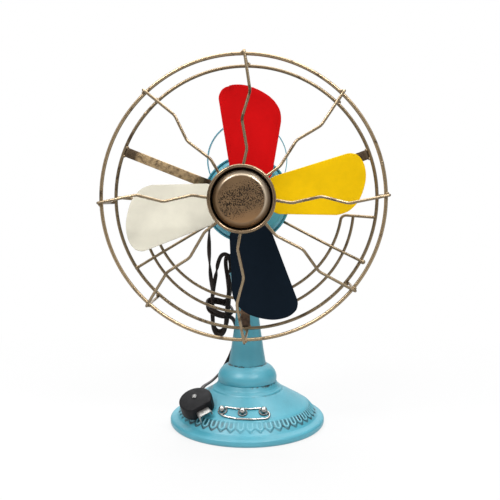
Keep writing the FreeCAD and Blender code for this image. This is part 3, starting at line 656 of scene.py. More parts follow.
def enamel(name, tone, soil_and_painted_light=0.0, streak=0.0, rough=0.42, shine=0.0, chips=0.0):
    """Sprayed enamel: faint clouding and orange peel, dirt in the seams with painted shade and
    highlights on the base's relief, chips at the rims.
    """
    material, tree, shader, where = new_material(name, Specular_IOR_Level=shine)
    clouds = effect(tree, "uneven_patches", Vector=where, Scale=28.0)
    base = mixed(tree, clouds["Mask"], rgba(tone, 0.93), rgba(tone, 1.06))
    if streak:
        brushed = noise(tree, where, 120.0, 5.0, 0.75, 1.6)
        base = mixed(tree, remap(tree, brushed, 0.42, 0.78, 0.0, streak), base,
                     rgba(tone, 0.66))
    if soil_and_painted_light:
        # Painted highlight on the petals' crests, and painted shade in their outlines.
        base = laid(tree, base, held(tree, "crest"), 0.30, (0.42, 0.74, 0.82, 1.0))
        uneven = remap(tree, noise(tree, where, 160.0, 4.0, 0.7), 0.35, 0.6, 0.55, 1.0)
        base = laid(tree, base, held(tree, "wash"), uneven, rgba(tone, 0.06))
        # Dirt in the seams, and painted shade under the step of the base.
        seam_soil_and_step_shade = effect(tree, "seam_grime", Vector=where, Scale=210.0, Depth=held(tree, "tint"))
        base = laid(tree, base, seam_soil_and_step_shade["Mask"], soil_and_painted_light, (0.020, 0.022, 0.022, 1.0))
    if chips:
        bare = effect(tree, "rim_chips", Vector=where, Scale=260.0, Rim=held(tree, "rim"),
                      Amount=chips)
        base = mixed(tree, bare["Mask"], base, (0.62, 0.60, 0.56, 1.0))
    gloss = remap(tree, clouds["Fine"], 0.3, 0.7, rough - 0.05, rough + 0.06)
    dress(tree, shader, base, gloss, noise(tree, where, 900.0, 2.0, 0.5), 0.10)
    return material


def shaded_side(tree, strength):
    """How much painted shade a spot gets on a wire's lower and rear side."""
    facing = tree.nodes.new("ShaderNodeTexCoord").outputs["Normal"]
    lit_side = effect(tree, "rubbed_crown", Normal=facing)
    return remap(tree, lit_side["Mask"], 0.0, 1.0, strength, 0.0)


def off_shaft(tree, where):
    """A spot's way from the shaft's line, and how far it is."""
    spot = vector(tree, "SUBTRACT", where, (0.0, 0.0, SHAFT_HEIGHT * MM))
    spot = vector(tree, "MULTIPLY", spot, (1.0, 0.0, 1.0))
    return spot, vector(tree, "LENGTH", spot)


def strap_burn_and_shadow(tree, where):
    """Burnt colour where a strap meets the rear ring, and painted shadow of the housing where it
    meets the housing.
    """
    _, reach = off_shaft(tree, where)
    return maths(tree, "MAXIMUM", remap(tree, reach, 0.1065, 0.1105),
                 remap(tree, reach, 0.0470, 0.0400))


def bronze(name, tone, dark, patch_scale, share, rough, crown=0.0, burn_and_shadow=0.0):
    """Antique bronze lacquer over steel: brown in patches, gold on the sides that face up and
    forward with painted shade below, and black painted into grooves as shade.
    """
    material, tree, shader, where = new_material(name, Specular_IOR_Level=0.5)
    clouds = effect(tree, "uneven_patches", Vector=where, Scale=patch_scale)
    base = mixed(tree, remap(tree, clouds["Mask"], 1.0 - share, 1.0, 0.0, 0.8), rgba(tone),
                 rgba(dark))
    base = mixed(tree, remap(tree, clouds["Fine"], 0.56, 0.78, 0.0, 0.3), base, rgba(dark))
    # Painted shade on the lower and rear side of a wire.
    if crown:
        base = mixed(tree, shaded_side(tree, crown), base, rgba(tone, 0.24))
    # Burn at a strap's ring end, painted shadow at its housing end.
    if burn_and_shadow:
        base = laid(tree, base, strap_burn_and_shadow(tree, where), burn_and_shadow, (0.030, 0.018, 0.012, 1.0))
    # Painted shade: black in grooves, with the metal made to reflect almost nothing there.
    depth = held(tree, "tint")
    base = laid(tree, base, depth, 0.97, SHADOW_BLACK)
    tree.links.new(remap(tree, depth, 0.0, 1.0, 0.72, 1.0), shader.inputs["Metallic"])
    gloss = remap(tree, clouds["Fine"], 0.3, 0.7, rough - 0.03, rough + 0.07)
    dress(tree, shader, base, gloss, clouds["Fine"], 0.06)
    return material


def pressed_disc(name, tone, pale, dark):
    """The hub disc's lacquer: a bevel with a painted highlight round a face that is pitted along a
    band and lighter towards its lower edge.
    """
    material, tree, shader, where = new_material(name, Specular_IOR_Level=0.5, Metallic=0.8)
    spot, reach = off_shaft(tree, where)
    clouds = effect(tree, "uneven_patches", Vector=where, Scale=60.0)
    base = mixed(tree, remap(tree, clouds["Mask"], 0.3, 1.0, 0.0, 0.7), rgba(tone), rgba(dark))
    # Lighter towards the lower edge of the face.
    low = remap(tree, vector(tree, "DOT_PRODUCT", spot, (0.2, 0.0, -1.0)), 0.008, 0.018)
    base = mixed(tree, low, base, (tone[0] * 1.36, tone[1] * 1.24, tone[2] * 1.12, 1.0))
    off = maths(tree, "ABSOLUTE", vector(tree, "DOT_PRODUCT", spot, (-0.38, 0.0, 0.92)))
    band = remap(tree, off, 0.008, 0.0185, 1.0, 0.0)
    torn = remap(tree, noise(tree, where, 190.0, 3.0, 0.6), 0.22, 0.50, 0.35, 1.0)
    specks = add(tree, "ShaderNodeTexVoronoi", {"Vector": where, "Scale": 820.0},
                 feature="F1").outputs["Distance"]
    wide = maths(tree, "MULTIPLY", times(tree, torn, band), 0.56)
    pits = remap(tree, maths(tree, "SUBTRACT", wide, specks), -0.05, 0.10)
    pits = times(tree, pits, remap(tree, reach, 0.0205, 0.0192))
    base = laid(tree, base, pits, 0.92, (0.010, 0.007, 0.005, 1.0))
    # Painted highlight: the bevel and its inner edge lighter towards the upper right.
    lit = remap(tree, vector(tree, "DOT_PRODUCT", vector(tree, "NORMALIZE", spot),
                             (0.62, 0.0, 0.78)), -0.35, 0.98)
    bevel = times(tree, remap(tree, reach, 0.0194, 0.0202),
                  remap(tree, reach, 0.0244, 0.0237))
    base = mixed(tree, bevel, base, mixed(tree, lit, rgba(tone, 0.8), rgba(pale, 0.62)))
    edge = times(tree, remap(tree, reach, 0.0192, 0.0197), remap(tree, reach, 0.0214, 0.0205))
    base = laid(tree, base, edge, lit, rgba(pale))
    # Painted shade on the disc's side, down in the gap.
    base = laid(tree, base, held(tree, "tint"), 0.97, SHADOW_BLACK)
    dress(tree, shader, base, remap(tree, bevel, 0.0, 1.0, 0.42, 0.31),
          maths(tree, "SUBTRACT", 1.0, pits), 0.5)
    return material


def plated(name, tone, rough, scale=300.0, crown=0.0):
    """Bright plating, clouded, with painted shade on its lower side and where it meets the paint.
    """
    material, tree, shader, where = new_material(name, Metallic=1.0)
    clouds = effect(tree, "uneven_patches", Vector=where, Scale=scale)
    base = mixed(tree, clouds["Mask"], rgba(tone, 0.78), rgba(tone))
    # Painted shade on the lower and rear side.
    if crown:
        base = mixed(tree, shaded_side(tree, crown), base, rgba(tone, 0.10))
    # Painted shade round the foot of a button cup.
    base = laid(tree, base, held(tree, "tint"), 0.95, (0.02, 0.02, 0.02, 1.0))
    gloss = remap(tree, clouds["Fine"], 0.3, 0.7, rough * 0.7, rough * 1.5)
    dress(tree, shader, base, gloss, clouds["Fine"], 0.08, 0.0001)
    return material


def moulded(name, tone, rough, grain=2600.0, strength=0.3, shine=0.0):
    """Moulded plastic or rubber with a fine spark grain and light scuffs."""
    material, tree, shader, where = new_material(name, Specular_IOR_Level=shine)
    scuffs = effect(tree, "uneven_patches", Vector=where, Scale=120.0)["Mask"]
    dress(tree, shader, mixed(tree, scuffs, rgba(tone, 0.85), rgba(tone, 1.5)),
          remap(tree, scuffs, 0.0, 1.0, rough + 0.05, rough - 0.05),
          noise(tree, where, grain, 2.0, 0.6), strength, 0.0001)
    return material


def felt(name, tone):
    """Pressed felt, its fibres lighter than the gaps between them."""
    material, tree, shader, where = new_material(name, Roughness=0.95, Sheen_Weight=0.3)
    fibres = noise(tree, where, 1500.0, 4.0, 0.8, 2.0)
    dress(tree, shader, mixed(tree, fibres, rgba(tone, 0.6), rgba(tone, 1.8)), None, fibres,
          0.5, 0.0004)
    return material


# The slot of each finish, by which a part's owner may change it.
MATERIALS = {}


def stock(key):
    """One of the finishes. All of them are made the first time."""
    if not MATERIALS:
        finish = bpy.context.scene.fan_finish
        dark = finish.bronze_dark
        MATERIALS.update({
            "stand": enamel("stand_enamel", finish.enamel, 0.95, rough=0.40, shine=0.72),
            # The column: a darker copy of the stand enamel, as painted shade.
            "column": enamel("column_enamel", rgba(finish.enamel, 0.80), 0.95, shine=0.62),
            "housing": enamel("housing_enamel", finish.enamel, rough=0.40, shine=0.60),
            "wire": bronze("wire_bronze", rgba(finish.bronze, 1.04), dark, 90.0, 0.30, 0.24,
                           crown=0.75),
            "spoke": bronze("spoke_bronze", (0.36, 0.272, 0.168), dark, 60.0, 0.34, 0.22,
                            crown=0.85),
            # A darker copy of the wire bronze for the rear wires and the braze: painted shade.
            "rear_wire": bronze("rear_wire_bronze", rgba(finish.bronze, 0.62), dark, 90.0, 0.30,
                                0.30, crown=0.4),
            "hub": bronze("hub_bronze", (0.290, 0.200, 0.118), dark, 36.0, 0.4, 0.18,
                          crown=0.75),
            "sheet": bronze("sheet_bronze", (0.49, 0.350, 0.190), dark, 260.0, 0.84, 0.46,
                            burn_and_shadow=0.85),
            "rusty": bronze("rusty_bronze", (0.24, 0.150, 0.090), (0.022, 0.010, 0.006), 330.0,
                            1.0, 0.5, burn_and_shadow=0.7),
            "disc": pressed_disc("disc_bronze", (0.255, 0.158, 0.082), (0.60, 0.49, 0.36),
                                 (0.12, 0.072, 0.040)),
            "steel": plated("plated_steel", (0.64, 0.62, 0.59), 0.22, crown=0.9),
            "dull_steel": plated("dull_steel", (0.27, 0.265, 0.26), 0.38),
            "tin": plated("tinned_strip", (0.50, 0.49, 0.47), 0.42, 500.0),
            "brass": plated("turned_brass", (0.62, 0.43, 0.16), 0.3),
            "plug": moulded("plug_plastic", finish.plug, 0.50, shine=0.16),
            "rubber": moulded("relief_rubber", (0.014, 0.012, 0.012), 0.6, shine=0.25),
            "flex": moulded("flex_sheath", finish.flex, 0.42, 1400.0, 0.12, shine=0.22),
            "felt": felt("base_felt", (0.03, 0.032, 0.03)),
        })
        for blade, streak, shine, chips in (
                ("red", 0.18, 0.04, 0.36), ("yellow", 0.16, 0.05, 0.26),
                ("navy", 0.2, 0.03, 0.24), ("cream", 0.08, 0.08, 0.24)):
            MATERIALS[blade] = enamel(blade + "_enamel", getattr(finish, blade), streak=streak,
                                      rough=0.5, shine=shine, chips=chips)
    return MATERIALS[key]


# ---- operators ------------------------------------------------------------------------------
CAMERA_LENS = 47.16
CAMERA_PLACE = (0.03179, -0.64993, 0.2227)
CAMERA_TURN = (90 - 4.36, 0, 2.56)
# Each lamp's place, what it points at, its size and its power.
LAMPS = {
    "key": ((-0.60, -0.70, 1.10), (0, 0, 0.15), 0.36, 8.2),
    "side": ((0.52, -0.74, 1.10), (0, 0, 0.15), 0.36, 7.8),
    "top": ((0.0, 0.22, 1.5), (0, 0, 0.1), 1.1, 17.0),
    "front": ((0.1, -1.6, 0.5), (0, 0, 0.2), 0.8, 4.5),
    "back": ((0.0, 1.1, 0.9), (0, 0, 0.2), 0.9, 4.0),
}
# Dark cards that are seen only in what shines: place, half of width and height, and turn.
CARDS = {
    "dark_card": ((0, -1.7, 0.42), (2.0, 0.75), 0.0),
    "dark_card_left": ((-1.25, 0.55, 0.40), (0.75, 0.70), 62.0),
    "dark_card_right": ((1.25, 0.55, 0.40), (0.75, 0.70), -62.0),
}
FLOOR_HALF = 6.0


class FAN_OT_stage(bpy.types.Operator):
    """Set the camera, the floor, the world and the lamps."""
    bl_idname = "fan.stage"
    bl_label = "Stage"

    def execute(self, context):
        scene = context.scene
        data = bpy.data.cameras.new("camera")
        data.lens = CAMERA_LENS
        data.sensor_width = 36.0
        data.clip_start = 0.01
        camera = bpy.data.objects.new("camera", data)
        camera.location = CAMERA_PLACE
        camera.rotation_euler = [math.radians(angle) for angle in CAMERA_TURN]
        scene.collection.objects.link(camera)
        scene.camera = camera
        scene.view_settings.view_transform = "Standard"
        self.make_floor()
        self.make_world(scene)
        for name, (place, target, size, power) in LAMPS.items():
            data = bpy.data.lights.new(name, "AREA")
            data.size = size
            data.energy = power
            lamp = bpy.data.objects.new(name, data)
            lamp.location = place
            heading = Vector(target) - Vector(place)
            lamp.rotation_euler = heading.to_track_quat("-Z", "Y").to_euler()
            lamp.visible_glossy = name != "front"
            scene.collection.objects.link(lamp)
        for name, (place, half, turn) in CARDS.items():
            place = (Matrix.Translation(place) @ turned(turn, "Z") @ turned(90, "X")
                     @ Matrix.Diagonal((*half, 1.0, 1.0)))
            self.flat_sheet(name, place, 0.03, ("camera", "diffuse", "transmission", "shadow"))
        return {"FINISHED"}

    def flat_sheet(self, name, place, tone, hidden=()):
        """A flat matt sheet that some rays don't meet; its material's tree, shader and places."""
        form = bmesh.new()
        bmesh.ops.create_grid(form, x_segments=1, y_segments=1, size=1.0)
        mesh = plain(form, name)
        mesh.transform(place)
        sheet = bpy.data.objects.new(name, mesh)
        for ray in hidden:
            setattr(sheet, "visible_" + ray, False)
        bpy.context.scene.collection.objects.link(sheet)
        material, *parts = new_material(name, Base_Color=(tone, tone, tone, 1), Roughness=0.9)
        mesh.materials.append(material)
        return parts

    def make_floor(self):
        """A pale floor that looks white, and a little darker near the fan."""
        tree, shader, where = self.flat_sheet(
            "floor", Matrix.Diagonal((FLOOR_HALF, FLOOR_HALF, 1.0, 1.0)), 0.62)
        glow = add(tree, "ShaderNodeEmission", {"Color": WHITE, "Strength": 1.0})
        fade = remap(tree, vector(tree, "LENGTH", where), 0.16, 0.55, 0.80, 1.0)
        self.blend(tree, times(tree, self.seen(tree), fade), shader, glow, "Material Output")

    def make_world(self, scene):
        """Soft light from all round, and plain white where it is looked at."""
        world = bpy.data.worlds.new("studio")
        world.use_nodes = True
        tree = world.node_tree
        soft = tree.nodes["Background"]
        soft.inputs["Color"].default_value = WHITE
        soft.inputs["Strength"].default_value = 0.34
        white = add(tree, "ShaderNodeBackground", {"Color": WHITE, "Strength": 1.0})
        self.blend(tree, self.seen(tree), soft, white, "World Output")
        scene.world = world

    def seen(self, tree):
        """1 for a ray that the camera, a mirror or a glass sends."""
        path = tree.nodes.new("ShaderNodeLightPath")
        total = maths(tree, "ADD", path.outputs["Is Camera Ray"], path.outputs["Is Glossy Ray"])
        total = maths(tree, "ADD", total, path.outputs["Is Transmission Ray"])
        return maths(tree, "MINIMUM", total, 1.0)

    def blend(self, tree, share, first, second, end):
        """Join a blend of two shaders to the tree's end."""
        mix = add(tree, "ShaderNodeMixShader", {0: share, 1: first.outputs[0],
                                                2: second.outputs[0]})
        tree.links.new(mix.outputs[0], tree.nodes[end].inputs["Surface"])


PLUG_SPOT = (-45.25, -39.0, 23.6)
PLUG_TURNS = ((-109.8, "Z"), (26.2, "Y"), (141.8, "Z"))
PLUG_RADIUS = 15.9
PLUG_THICKNESS = 12.7
PLUG_FLAT = 12.7
PLUG_ENTRY_TURN = 50.0
PLUG_EDGE = 1.1
RELIEF_SPOT = (-38.3, 4.0, 0)
# The tin strip on the plug: its depth, its sides, its sheet, its reach off the plug, its legs.
STRIP_DEPTH = 4.8
STRIP_LEFT, STRIP_RIGHT = -6.4, 5.8
STRIP_SHEET = 0.8
STRIP_REACH = 7.4
STRIP_LEGS = (7.6, 4.8)


def plug_place():
    """The plug's placement: z through its thickness, the flat side on -y."""
    place = Matrix.Identity(4)
    for angle, axis in PLUG_TURNS:
        place = place @ turned(angle, axis)
    return Matrix.Translation(upright(*PLUG_SPOT)) @ place


def plug_entry(out):
    """A point out from where the lead enters the plug's side."""
    side = polar((PLUG_RADIUS + out) * MM, math.radians(PLUG_ENTRY_TURN))
    return plug_place() @ Vector((*side, PLUG_THICKNESS / 2 * MM))


class FAN_OT_lead(bpy.types.Operator):
    """Make the flat lead with its hank, the strain relief and the plug."""
    bl_idname = "fan.lead"
    bl_label = "Lead and plug"

    def execute(self, context):
        sizes = context.scene.fan_sizes
        route = [upright(*p) for p in DROP_ROUTE + HANK_TURNS + TIE_TURN + TAIL_ROUTE]
        route += [plug_entry(7.5), plug_entry(-1.0)]
        line = self.spline(route)
        flex = new_piece("lead_flex", self.flat_flex(line, sizes), "flex", "cord_drop",
                         "cord_hank", "cord_tail")
        plug = self.make_plug()
        relief = outline_of(
            [(0, 216), (4.4, 216), (4.4, 210), (3.9, 206), (2.6, 197), (2.3, 195.5), (0, 195.5)],
            [0, 0.3, 1, 2, 1, 0.4, 0])
        relief = spun(relief, 40, False, Matrix.Translation(upright(*RELIEF_SPOT)))
        new_piece("strain_relief", relief, "rubber", "cord_gland")
        return {"FINISHED"}

    def spline(self, route):
        """Points read from a NURBS spline that has the route as its control points."""
        data = bpy.data.curves.new("route", "CURVE")
        data.dimensions = "3D"
        spline = data.splines.new("NURBS")
        spline.points.add(len(route) - 1)
        for point, place in zip(spline.points, route):
            point.co = (*place, 1.0)
        spline.order_u = 3
        spline.use_endpoint_u = True
        spline.resolution_u = 14
        carrier = bpy.data.objects.new("route", data)
        bpy.context.scene.collection.objects.link(carrier)
        graph = bpy.context.evaluated_depsgraph_get()
        mesh = bpy.data.meshes.new_from_object(carrier.evaluated_get(graph))
        line = [v.co.copy() for v in mesh.vertices]
        bpy.data.objects.remove(carrier)
        bpy.data.meshes.remove(mesh)
        return line

    def section(self, sizes):
        """Two cores side by side under one sheath, with a waist between them."""
        points = []
        for i in range(16):
            side, up = polar(1, 2 * math.pi * i / 16)
            waist = 1.0 - 0.30 * math.exp(-((side / 0.28) ** 2))
            points.append((sizes.flex_width / 2 * side, sizes.flex_thickness / 2 * waist
                           * math.copysign(abs(up) ** 0.6, up)))
        return points

    def flat_flex(self, line, sizes):
        """The flat lead along its line, turning its face gently to the front."""
        form = bmesh.new()
        section = self.section(sizes)
        flat = None
        along = 0.0
        rings = []
        for i, point in enumerate(line):
            heading = heading_at(line, i)
            if i:
                along += (point - line[i - 1]).length
            front = Vector((0.25, -1, 0))
            front -= heading * front.dot(heading)
            if flat is None:
                flat = front.normalized()
            flat = (flat - heading * flat.dot(heading)).normalized()
            pull = front * (0.12 if flat.dot(front) > 0 else -0.12)
            flat = (flat + pull).normalized()
            up = Matrix.Rotation(self.roll(along), 3, heading) @ flat
            across = up.cross(heading)
            rings.append([form.verts.new(point + across * a + up * b) for a, b in section])
        skin(form, rings, True)
        return mesh_from(form, sharp=80.0)

    def roll(self, along):
        """How far the flex has rolled about its own line, so far along it."""
        turn = 0.0
        for start, end, halves in FLEX_TWISTS:
            share = share_of(along - start, end - start)
            turn += math.pi * halves * (share if halves > 1 else share * share * (3 - 2 * share))
        return turn

    def make_plug(self):
        """The plug's moulding with its flat side, the rivet in it and the tin strip."""
        place = plug_place()
        flat = math.asin(PLUG_FLAT / PLUG_RADIUS)
        start, end = -flat, math.pi + flat
        rim = [Vector((*polar(PLUG_RADIUS, start + (end - start) * i / 90), 0))
               for i in range(91)]
        new_piece("plug_moulding", plate(rim, 0.0, PLUG_THICKNESS, PLUG_EDGE, place),
                  "plug", "plug_body")
        rivet = spun([(0, 1.5), (1.2, 1.4), (2.1, 1.05), (2.6, 0.5), (2.6, -0.6), (0, -0.6)],
                     28, False, place @ Matrix.Translation(upright(0.5, 3.4, PLUG_THICKNESS)))
        new_piece("plug_rivet_head", rivet, "dull_steel", "plug_rivet")
        top = PLUG_THICKNESS - STRIP_DEPTH
        middle = top - STRIP_SHEET / 2
        bent = [(STRIP_LEFT, 0, top - STRIP_LEGS[0]), (STRIP_LEFT, 0, middle),
                (STRIP_RIGHT, 0, middle), (STRIP_RIGHT, 0, top - STRIP_LEGS[1])]
        mesh = strip(rounded([upright(*p) for p in bent], 1.4 * MM, 6), (0, 1, 0), STRIP_REACH,
                     STRIP_SHEET, 0.2)
        outer = -STRIP_REACH / 2 * MM
        for vert in mesh.vertices:
            drop = share_of((top - 1.0) * MM - vert.co.z, 5.6 * MM)
            vert.co.y = outer + (vert.co.y - outer) * (1 - 0.68 * drop)
        mesh.transform(place @ Matrix.Translation(upright(0, -PLUG_FLAT - STRIP_REACH / 2, 0)))
        new_piece("plug_strip", mesh, "tin", "plug_prongs")
        return ["plug_moulding", "plug_rivet_head", "plug_strip"]


RING_RADIUS = 122.2
FRONT_RING_Z = 88.0
REAR_RING_Z = 36.0
RING_WIRE = 1.6
SPOKE_WIRE = 1.3
SPOKE_DRIFT = (1.5, 1.5, -0.8, -2.7, 1.6, 3.1, 0.8, 6.0)
SPOKE_START, SPOKE_START_Z = 22.0, 95.3
SPOKE_END, SPOKE_END_Z = 126.3, 90.8
SPOKE_BENDS = ((42.5, 4.0), (67.5, -0.8), (90.5, 5.8))
TIE_RADIUS, TIE_START_Z = 125.0, 90.7
BASKET_WIRE = 1.4
BASKET_TURN = -4.35
BASKET_BAR = -7.8
BASKET_CORNER = 5.0
INNER_CENTRE, INNER_RADIUS = (0.7, -4.2), 89.8
OUTER_CENTRE, OUTER_RADIUS = (1.7, -7.5), 99.6
STAY_WIRE = 1.35
STRAP_ANGLES = (20.0, 158.5, 270.0)
STRAP_WIDTH, STRAP_SHEET = 9.0, 1.5
# How far a wire or a strap sinks into what it is brazed to.
BITE = 0.05


class FAN_OT_cage(bpy.types.Operator):
    """Make the wire cage: rings, zigzag spokes with their ties, and the rear wires."""
    bl_idname = "fan.cage"
    bl_label = "Cage"

    def execute(self, context):
        for side, z, finish in (("front", FRONT_RING_Z, "wire"),
                                ("rear", REAR_RING_Z, "rear_wire")):
            circle = unbent(on_head(RING_RADIUS, 360 * i / 160, z) for i in range(160))
            new_piece("cage_%s_ring" % side, wires([circle], RING_WIRE, finish, 16, True),
                      finish, side + "_ring")
        spokes = [self.spoke(i * 45.0, drift) for i, drift in enumerate(SPOKE_DRIFT)]
        new_piece("cage_spokes", wires(spokes, SPOKE_WIRE, "spoke", 14), "spoke",
                  *("spoke_%d" % (i + 1) for i in range(8)), "cage_ties")
        self.make_basket()
        self.make_stays()
        self.make_straps()
        self.make_brazing()
        return {"FINISHED"}

    def spoke(self, angle, drift):
        """One wire: behind the hub ring, zigzag over the front ring, then back as a tie."""
        turn = turned(angle, "Z", 3)
        out = Vector((*polar(1, math.radians(drift)), 0))
        start = Vector((SPOKE_START, 0, SPOKE_START_Z))
        run = out * SPOKE_END + Vector((0, 0, SPOKE_END_Z)) - start
        points = [(start, 0.0)]
        for radius, aside in SPOKE_BENDS:
            share = (radius - SPOKE_START) / (SPOKE_END - SPOKE_START)
            points.append((start + run * share + Vector((0, -aside, 0)), 11.0))
        points.append((out * TIE_RADIUS + Vector((0, 0, TIE_START_Z)), 2.2))
        points.append((out * TIE_RADIUS + Vector((0, 0, REAR_RING_Z - RING_WIRE)), 0.0))
        return [(head(*(turn @ p)), bend * MM) for p, bend in points]

    def make_basket(self):
        """The two bent wires in the lower half of the rear side."""
        centre = Vector((*INNER_CENTRE, REAR_RING_Z))
        rim = RING_RADIUS - RING_WIRE + 2 * BITE
        end = math.sqrt(rim**2 - BASKET_BAR**2)
        low = BASKET_BAR - BASKET_CORNER
        across = math.sqrt((INNER_RADIUS + BASKET_CORNER) ** 2 - (low - centre.y) ** 2)
        right, left = (Vector((centre.x + side * across, low, REAR_RING_Z)) for side in (1, -1))
        up = Vector((0, 1, 0))
        first = self.turn_to(centre, right)
        last = self.turn_to(centre, left)
        last -= 2 * math.pi if last > first else 0.0
        line = [Vector((end, BASKET_BAR, REAR_RING_Z))]
        line += self.corner(right, up, (centre - right).normalized())
        line += self.arc(centre, INNER_RADIUS, first, last, range(1, 64), 64)
        line += self.corner(left, (centre - left).normalized(), up)
        line.append(Vector((-end, BASKET_BAR, REAR_RING_Z)))
        self.basket_wire("inner", line)
        centre = Vector((*OUTER_CENTRE, REAR_RING_Z))
        first = math.asin((BASKET_BAR - BASKET_WIRE + 2 * BITE - centre.y) / OUTER_RADIUS)
        self.basket_wire("outer", self.arc(centre, OUTER_RADIUS, first, -math.pi - first,
                                           range(81), 80))

    def turn_to(self, centre, pivot):
        """The angle at which the wire's great arc meets a corner's small one."""
        spot = pivot + (centre - pivot).normalized() * BASKET_CORNER
        return math.atan2(spot.y - centre.y, spot.x - centre.x)

    def corner(self, pivot, start, end):
        """A small arc round a pivot, from one way to another."""
        return [pivot + start.lerp(end, i / 6).normalized() * BASKET_CORNER for i in range(7)]

    def arc(self, centre, radius, first, last, steps, count):
        """Points on a great arc, for some of its steps."""
        return [centre + Vector((*polar(1, first + (last - first) * i / count), 0)) * radius
                for i in steps]

    def basket_wire(self, name, line):
        """One bent wire in its place on the rear ring."""
        turn = turned(BASKET_TURN, "Z", 3)
        placed = unbent(head(*(turn @ p)) for p in line)
        new_piece("rear_%s_wire" % name, wires([placed], BASKET_WIRE, "rear_wire"), "rear_wire",
                  "basket_%s_wire" % name)

    def make_stays(self):
        """The two stays from the housing to the rear ring, each with a ball on its end."""
        z = REAR_RING_Z + RING_WIRE + STAY_WIRE - BITE
        for side, first, last, reach in (("right", -31.3, -28.0, 124.2),
                                         ("left", 213.8, 212.3, 121.0)):
            bend = first + (last - first) * 0.75
            line = [(on_head(42.4, first, 12.5), 0.0), (on_head(88.0, bend, z), 20.0 * MM),
                    (on_head(reach, last, z), 0.0)]
            half = [(0, 2.3), (0.9, 2.1), (1.75, 1.5), (2.25, 0.5)]
            knob = spun(half + [(r, -h) for r, h in reversed(half)], 20, False,
                        Matrix.Translation(on_head(reach, last, z)))
            mesh = plain(taken(wires([line], STAY_WIRE, "rear_wire"), knob))
            new_piece("rear_stay_" + side, mesh, "rear_wire", "stay_" + side)

    def make_straps(self):
        """The three bent straps from the housing's face to the rear ring."""
        run = REAR_RING_Z + BASKET_WIRE + STRAP_SHEET / 2 - BITE
        rim = RING_RADIUS - RING_WIRE - STRAP_SHEET / 2 + BITE
        for side, angle in zip(("right", "left", "lower"), STRAP_ANGLES):
            line = [on_head(r, angle, z) for r, z in (
                (32.5, 24.75), (41.0, 24.75), (47.5, run), (rim, run), (rim, REAR_RING_Z - 4.0))]
            across = on_head(1.0, angle + 90, 0) - head(0, 0, 0)
            mesh = strip(rounded(line, 2.2 * MM, 6), across, STRAP_WIDTH,
                         STRAP_SHEET, 0.5)
            new_piece("rear_strap_" + side, mesh, "rusty" if side == "lower" else "sheet",
                      "strap_" + side)

    def make_brazing(self):
        """Small lumps of braze where wires meet."""
        lump = bmesh.new()
        bmesh.ops.create_icosphere(lump, subdivisions=2, radius=1.0 * MM)
        rough = random.Random(7)
        for vert in lump.verts:
            vert.co *= 1.0 + 0.16 * (rough.random() - 0.5)
            vert.co.z *= 0.75
        mesh = mesh_from(lump, sharp=80.0)
        places = []
        for i, drift in enumerate(SPOKE_DRIFT):
            angle = 45.0 * i + drift
            places.append((0.9, angle + 0.6, FRONT_RING_Z + 1.7))
            places.append((1.8, angle - 0.7, REAR_RING_Z))
        for angle in STRAP_ANGLES:
            places += [(-1.9, angle + side, REAR_RING_Z + 1.0) for side in (-2.0, 2.0)]
        places += [(-1.8, angle, REAR_RING_Z + 0.9) for angle in (-8.0, 179.4)]
        for angle, z in ((139.6, REAR_RING_Z), (14.1, FRONT_RING_Z)):
            places += [(0, angle + side, z + 0.7) for side in (-0.5, 0.0, 0.5)]
        spots = [(on_head(RING_RADIUS + out, angle, z), (0, -1, 0)) for out, angle, z in places]
        new_piece("cage_brazing", repeated(mesh, spots, "rear_wire", 1.3, 1.9, 5), "rear_wire")


class FAN_OT_hub(bpy.types.Operator):
    """Make the hub of the cage: the rolled ring and the pressed disc."""
    bl_idname = "fan.hub"
    bl_label = "Cage hub"

    def execute(self, context):
        bead = []
        for i in range(15):
            side, up = polar(1.5, math.radians(-50 + 250 * i / 14))
            bead.append((27.7 + side, 101.2 + up))
        ring = [(0, 96.5), (26.0, 96.5), (27.2, 97.8)] + bead + [
            (26.1, 98.4), (25.8, 97.6), (0, 97.5)]
        # Painted shade: the ring's inner wall and floor, in the groove round the disc, are made
        # black.
        dark = [0.0] * (len(ring) - 3) + [1.0, 1.0, 1.0]
        new_piece("hub_bead_ring", spun(ring, 128, False, HEAD_PLACE, tint=dark), "hub",
                  "hub_ring")
        disc = outline_of(
            [(0, 103.0), (20.1, 103.0), (24.3, 99.5), (24.7, 98.3), (24.7, 97.4),
             (23.7, 97.4), (23.7, 98.6), (19.6, 102.0), (0, 102.0)],
            [0, 2.2, 1.4, 0.6, 0, 0, 1, 1, 0], 4, False
        )
        # Painted shade on the disc's side, down in the gap.
        dark = [share_of(98.5 - z, 0.6) for _, z in disc]
        new_piece("hub_pressed_disc", spun(disc, 128, False, HEAD_PLACE, tint=dark), "disc",
                  "hub_disc")
        return {"FINISHED"}


# Each blade's turn, slide, width and length shares, and its root's reach to front and back.
BLADES = {
    "red": (86.7, -6.6, 1.01, 0.98, 13.7, 24.7),
    "yellow": (9.0, 0.2, 0.95, 1.01, 16.6, 19.1),
    "navy": (-77.4, 0.3, 1.04, 1.03, 18.6, 21.4),
    "cream": (191.7, 2.0, 1.04, 0.99, 17.6, 21.4),
}
BLADE_TIP = ((94.0, 27.6), (98.6, 27.2), (104.0, 24.0), (108.2, 15.5), (108.8, 3.0),
             (105.4, -9.5), (99.6, -20.4), (92.0, -27.2), (85.6, -29.6), (79.0, -30.2))
BLADE_PITCH = 18.0
BLADE_Z = 62.0
BLADE_HALF_SHEET = 0.5
RIVET_REACHES = (17.0, 26.0)
OUTWARD = Vector((0, 0, 1))


def blade_place(angle):
    """A blade's placement: turned round the shaft and pitched."""
    return (HEAD_PLACE @ Matrix.Translation((0, 0, BLADE_Z * MM)) @ turned(angle, "Z")
            @ turned(BLADE_PITCH, "X"))


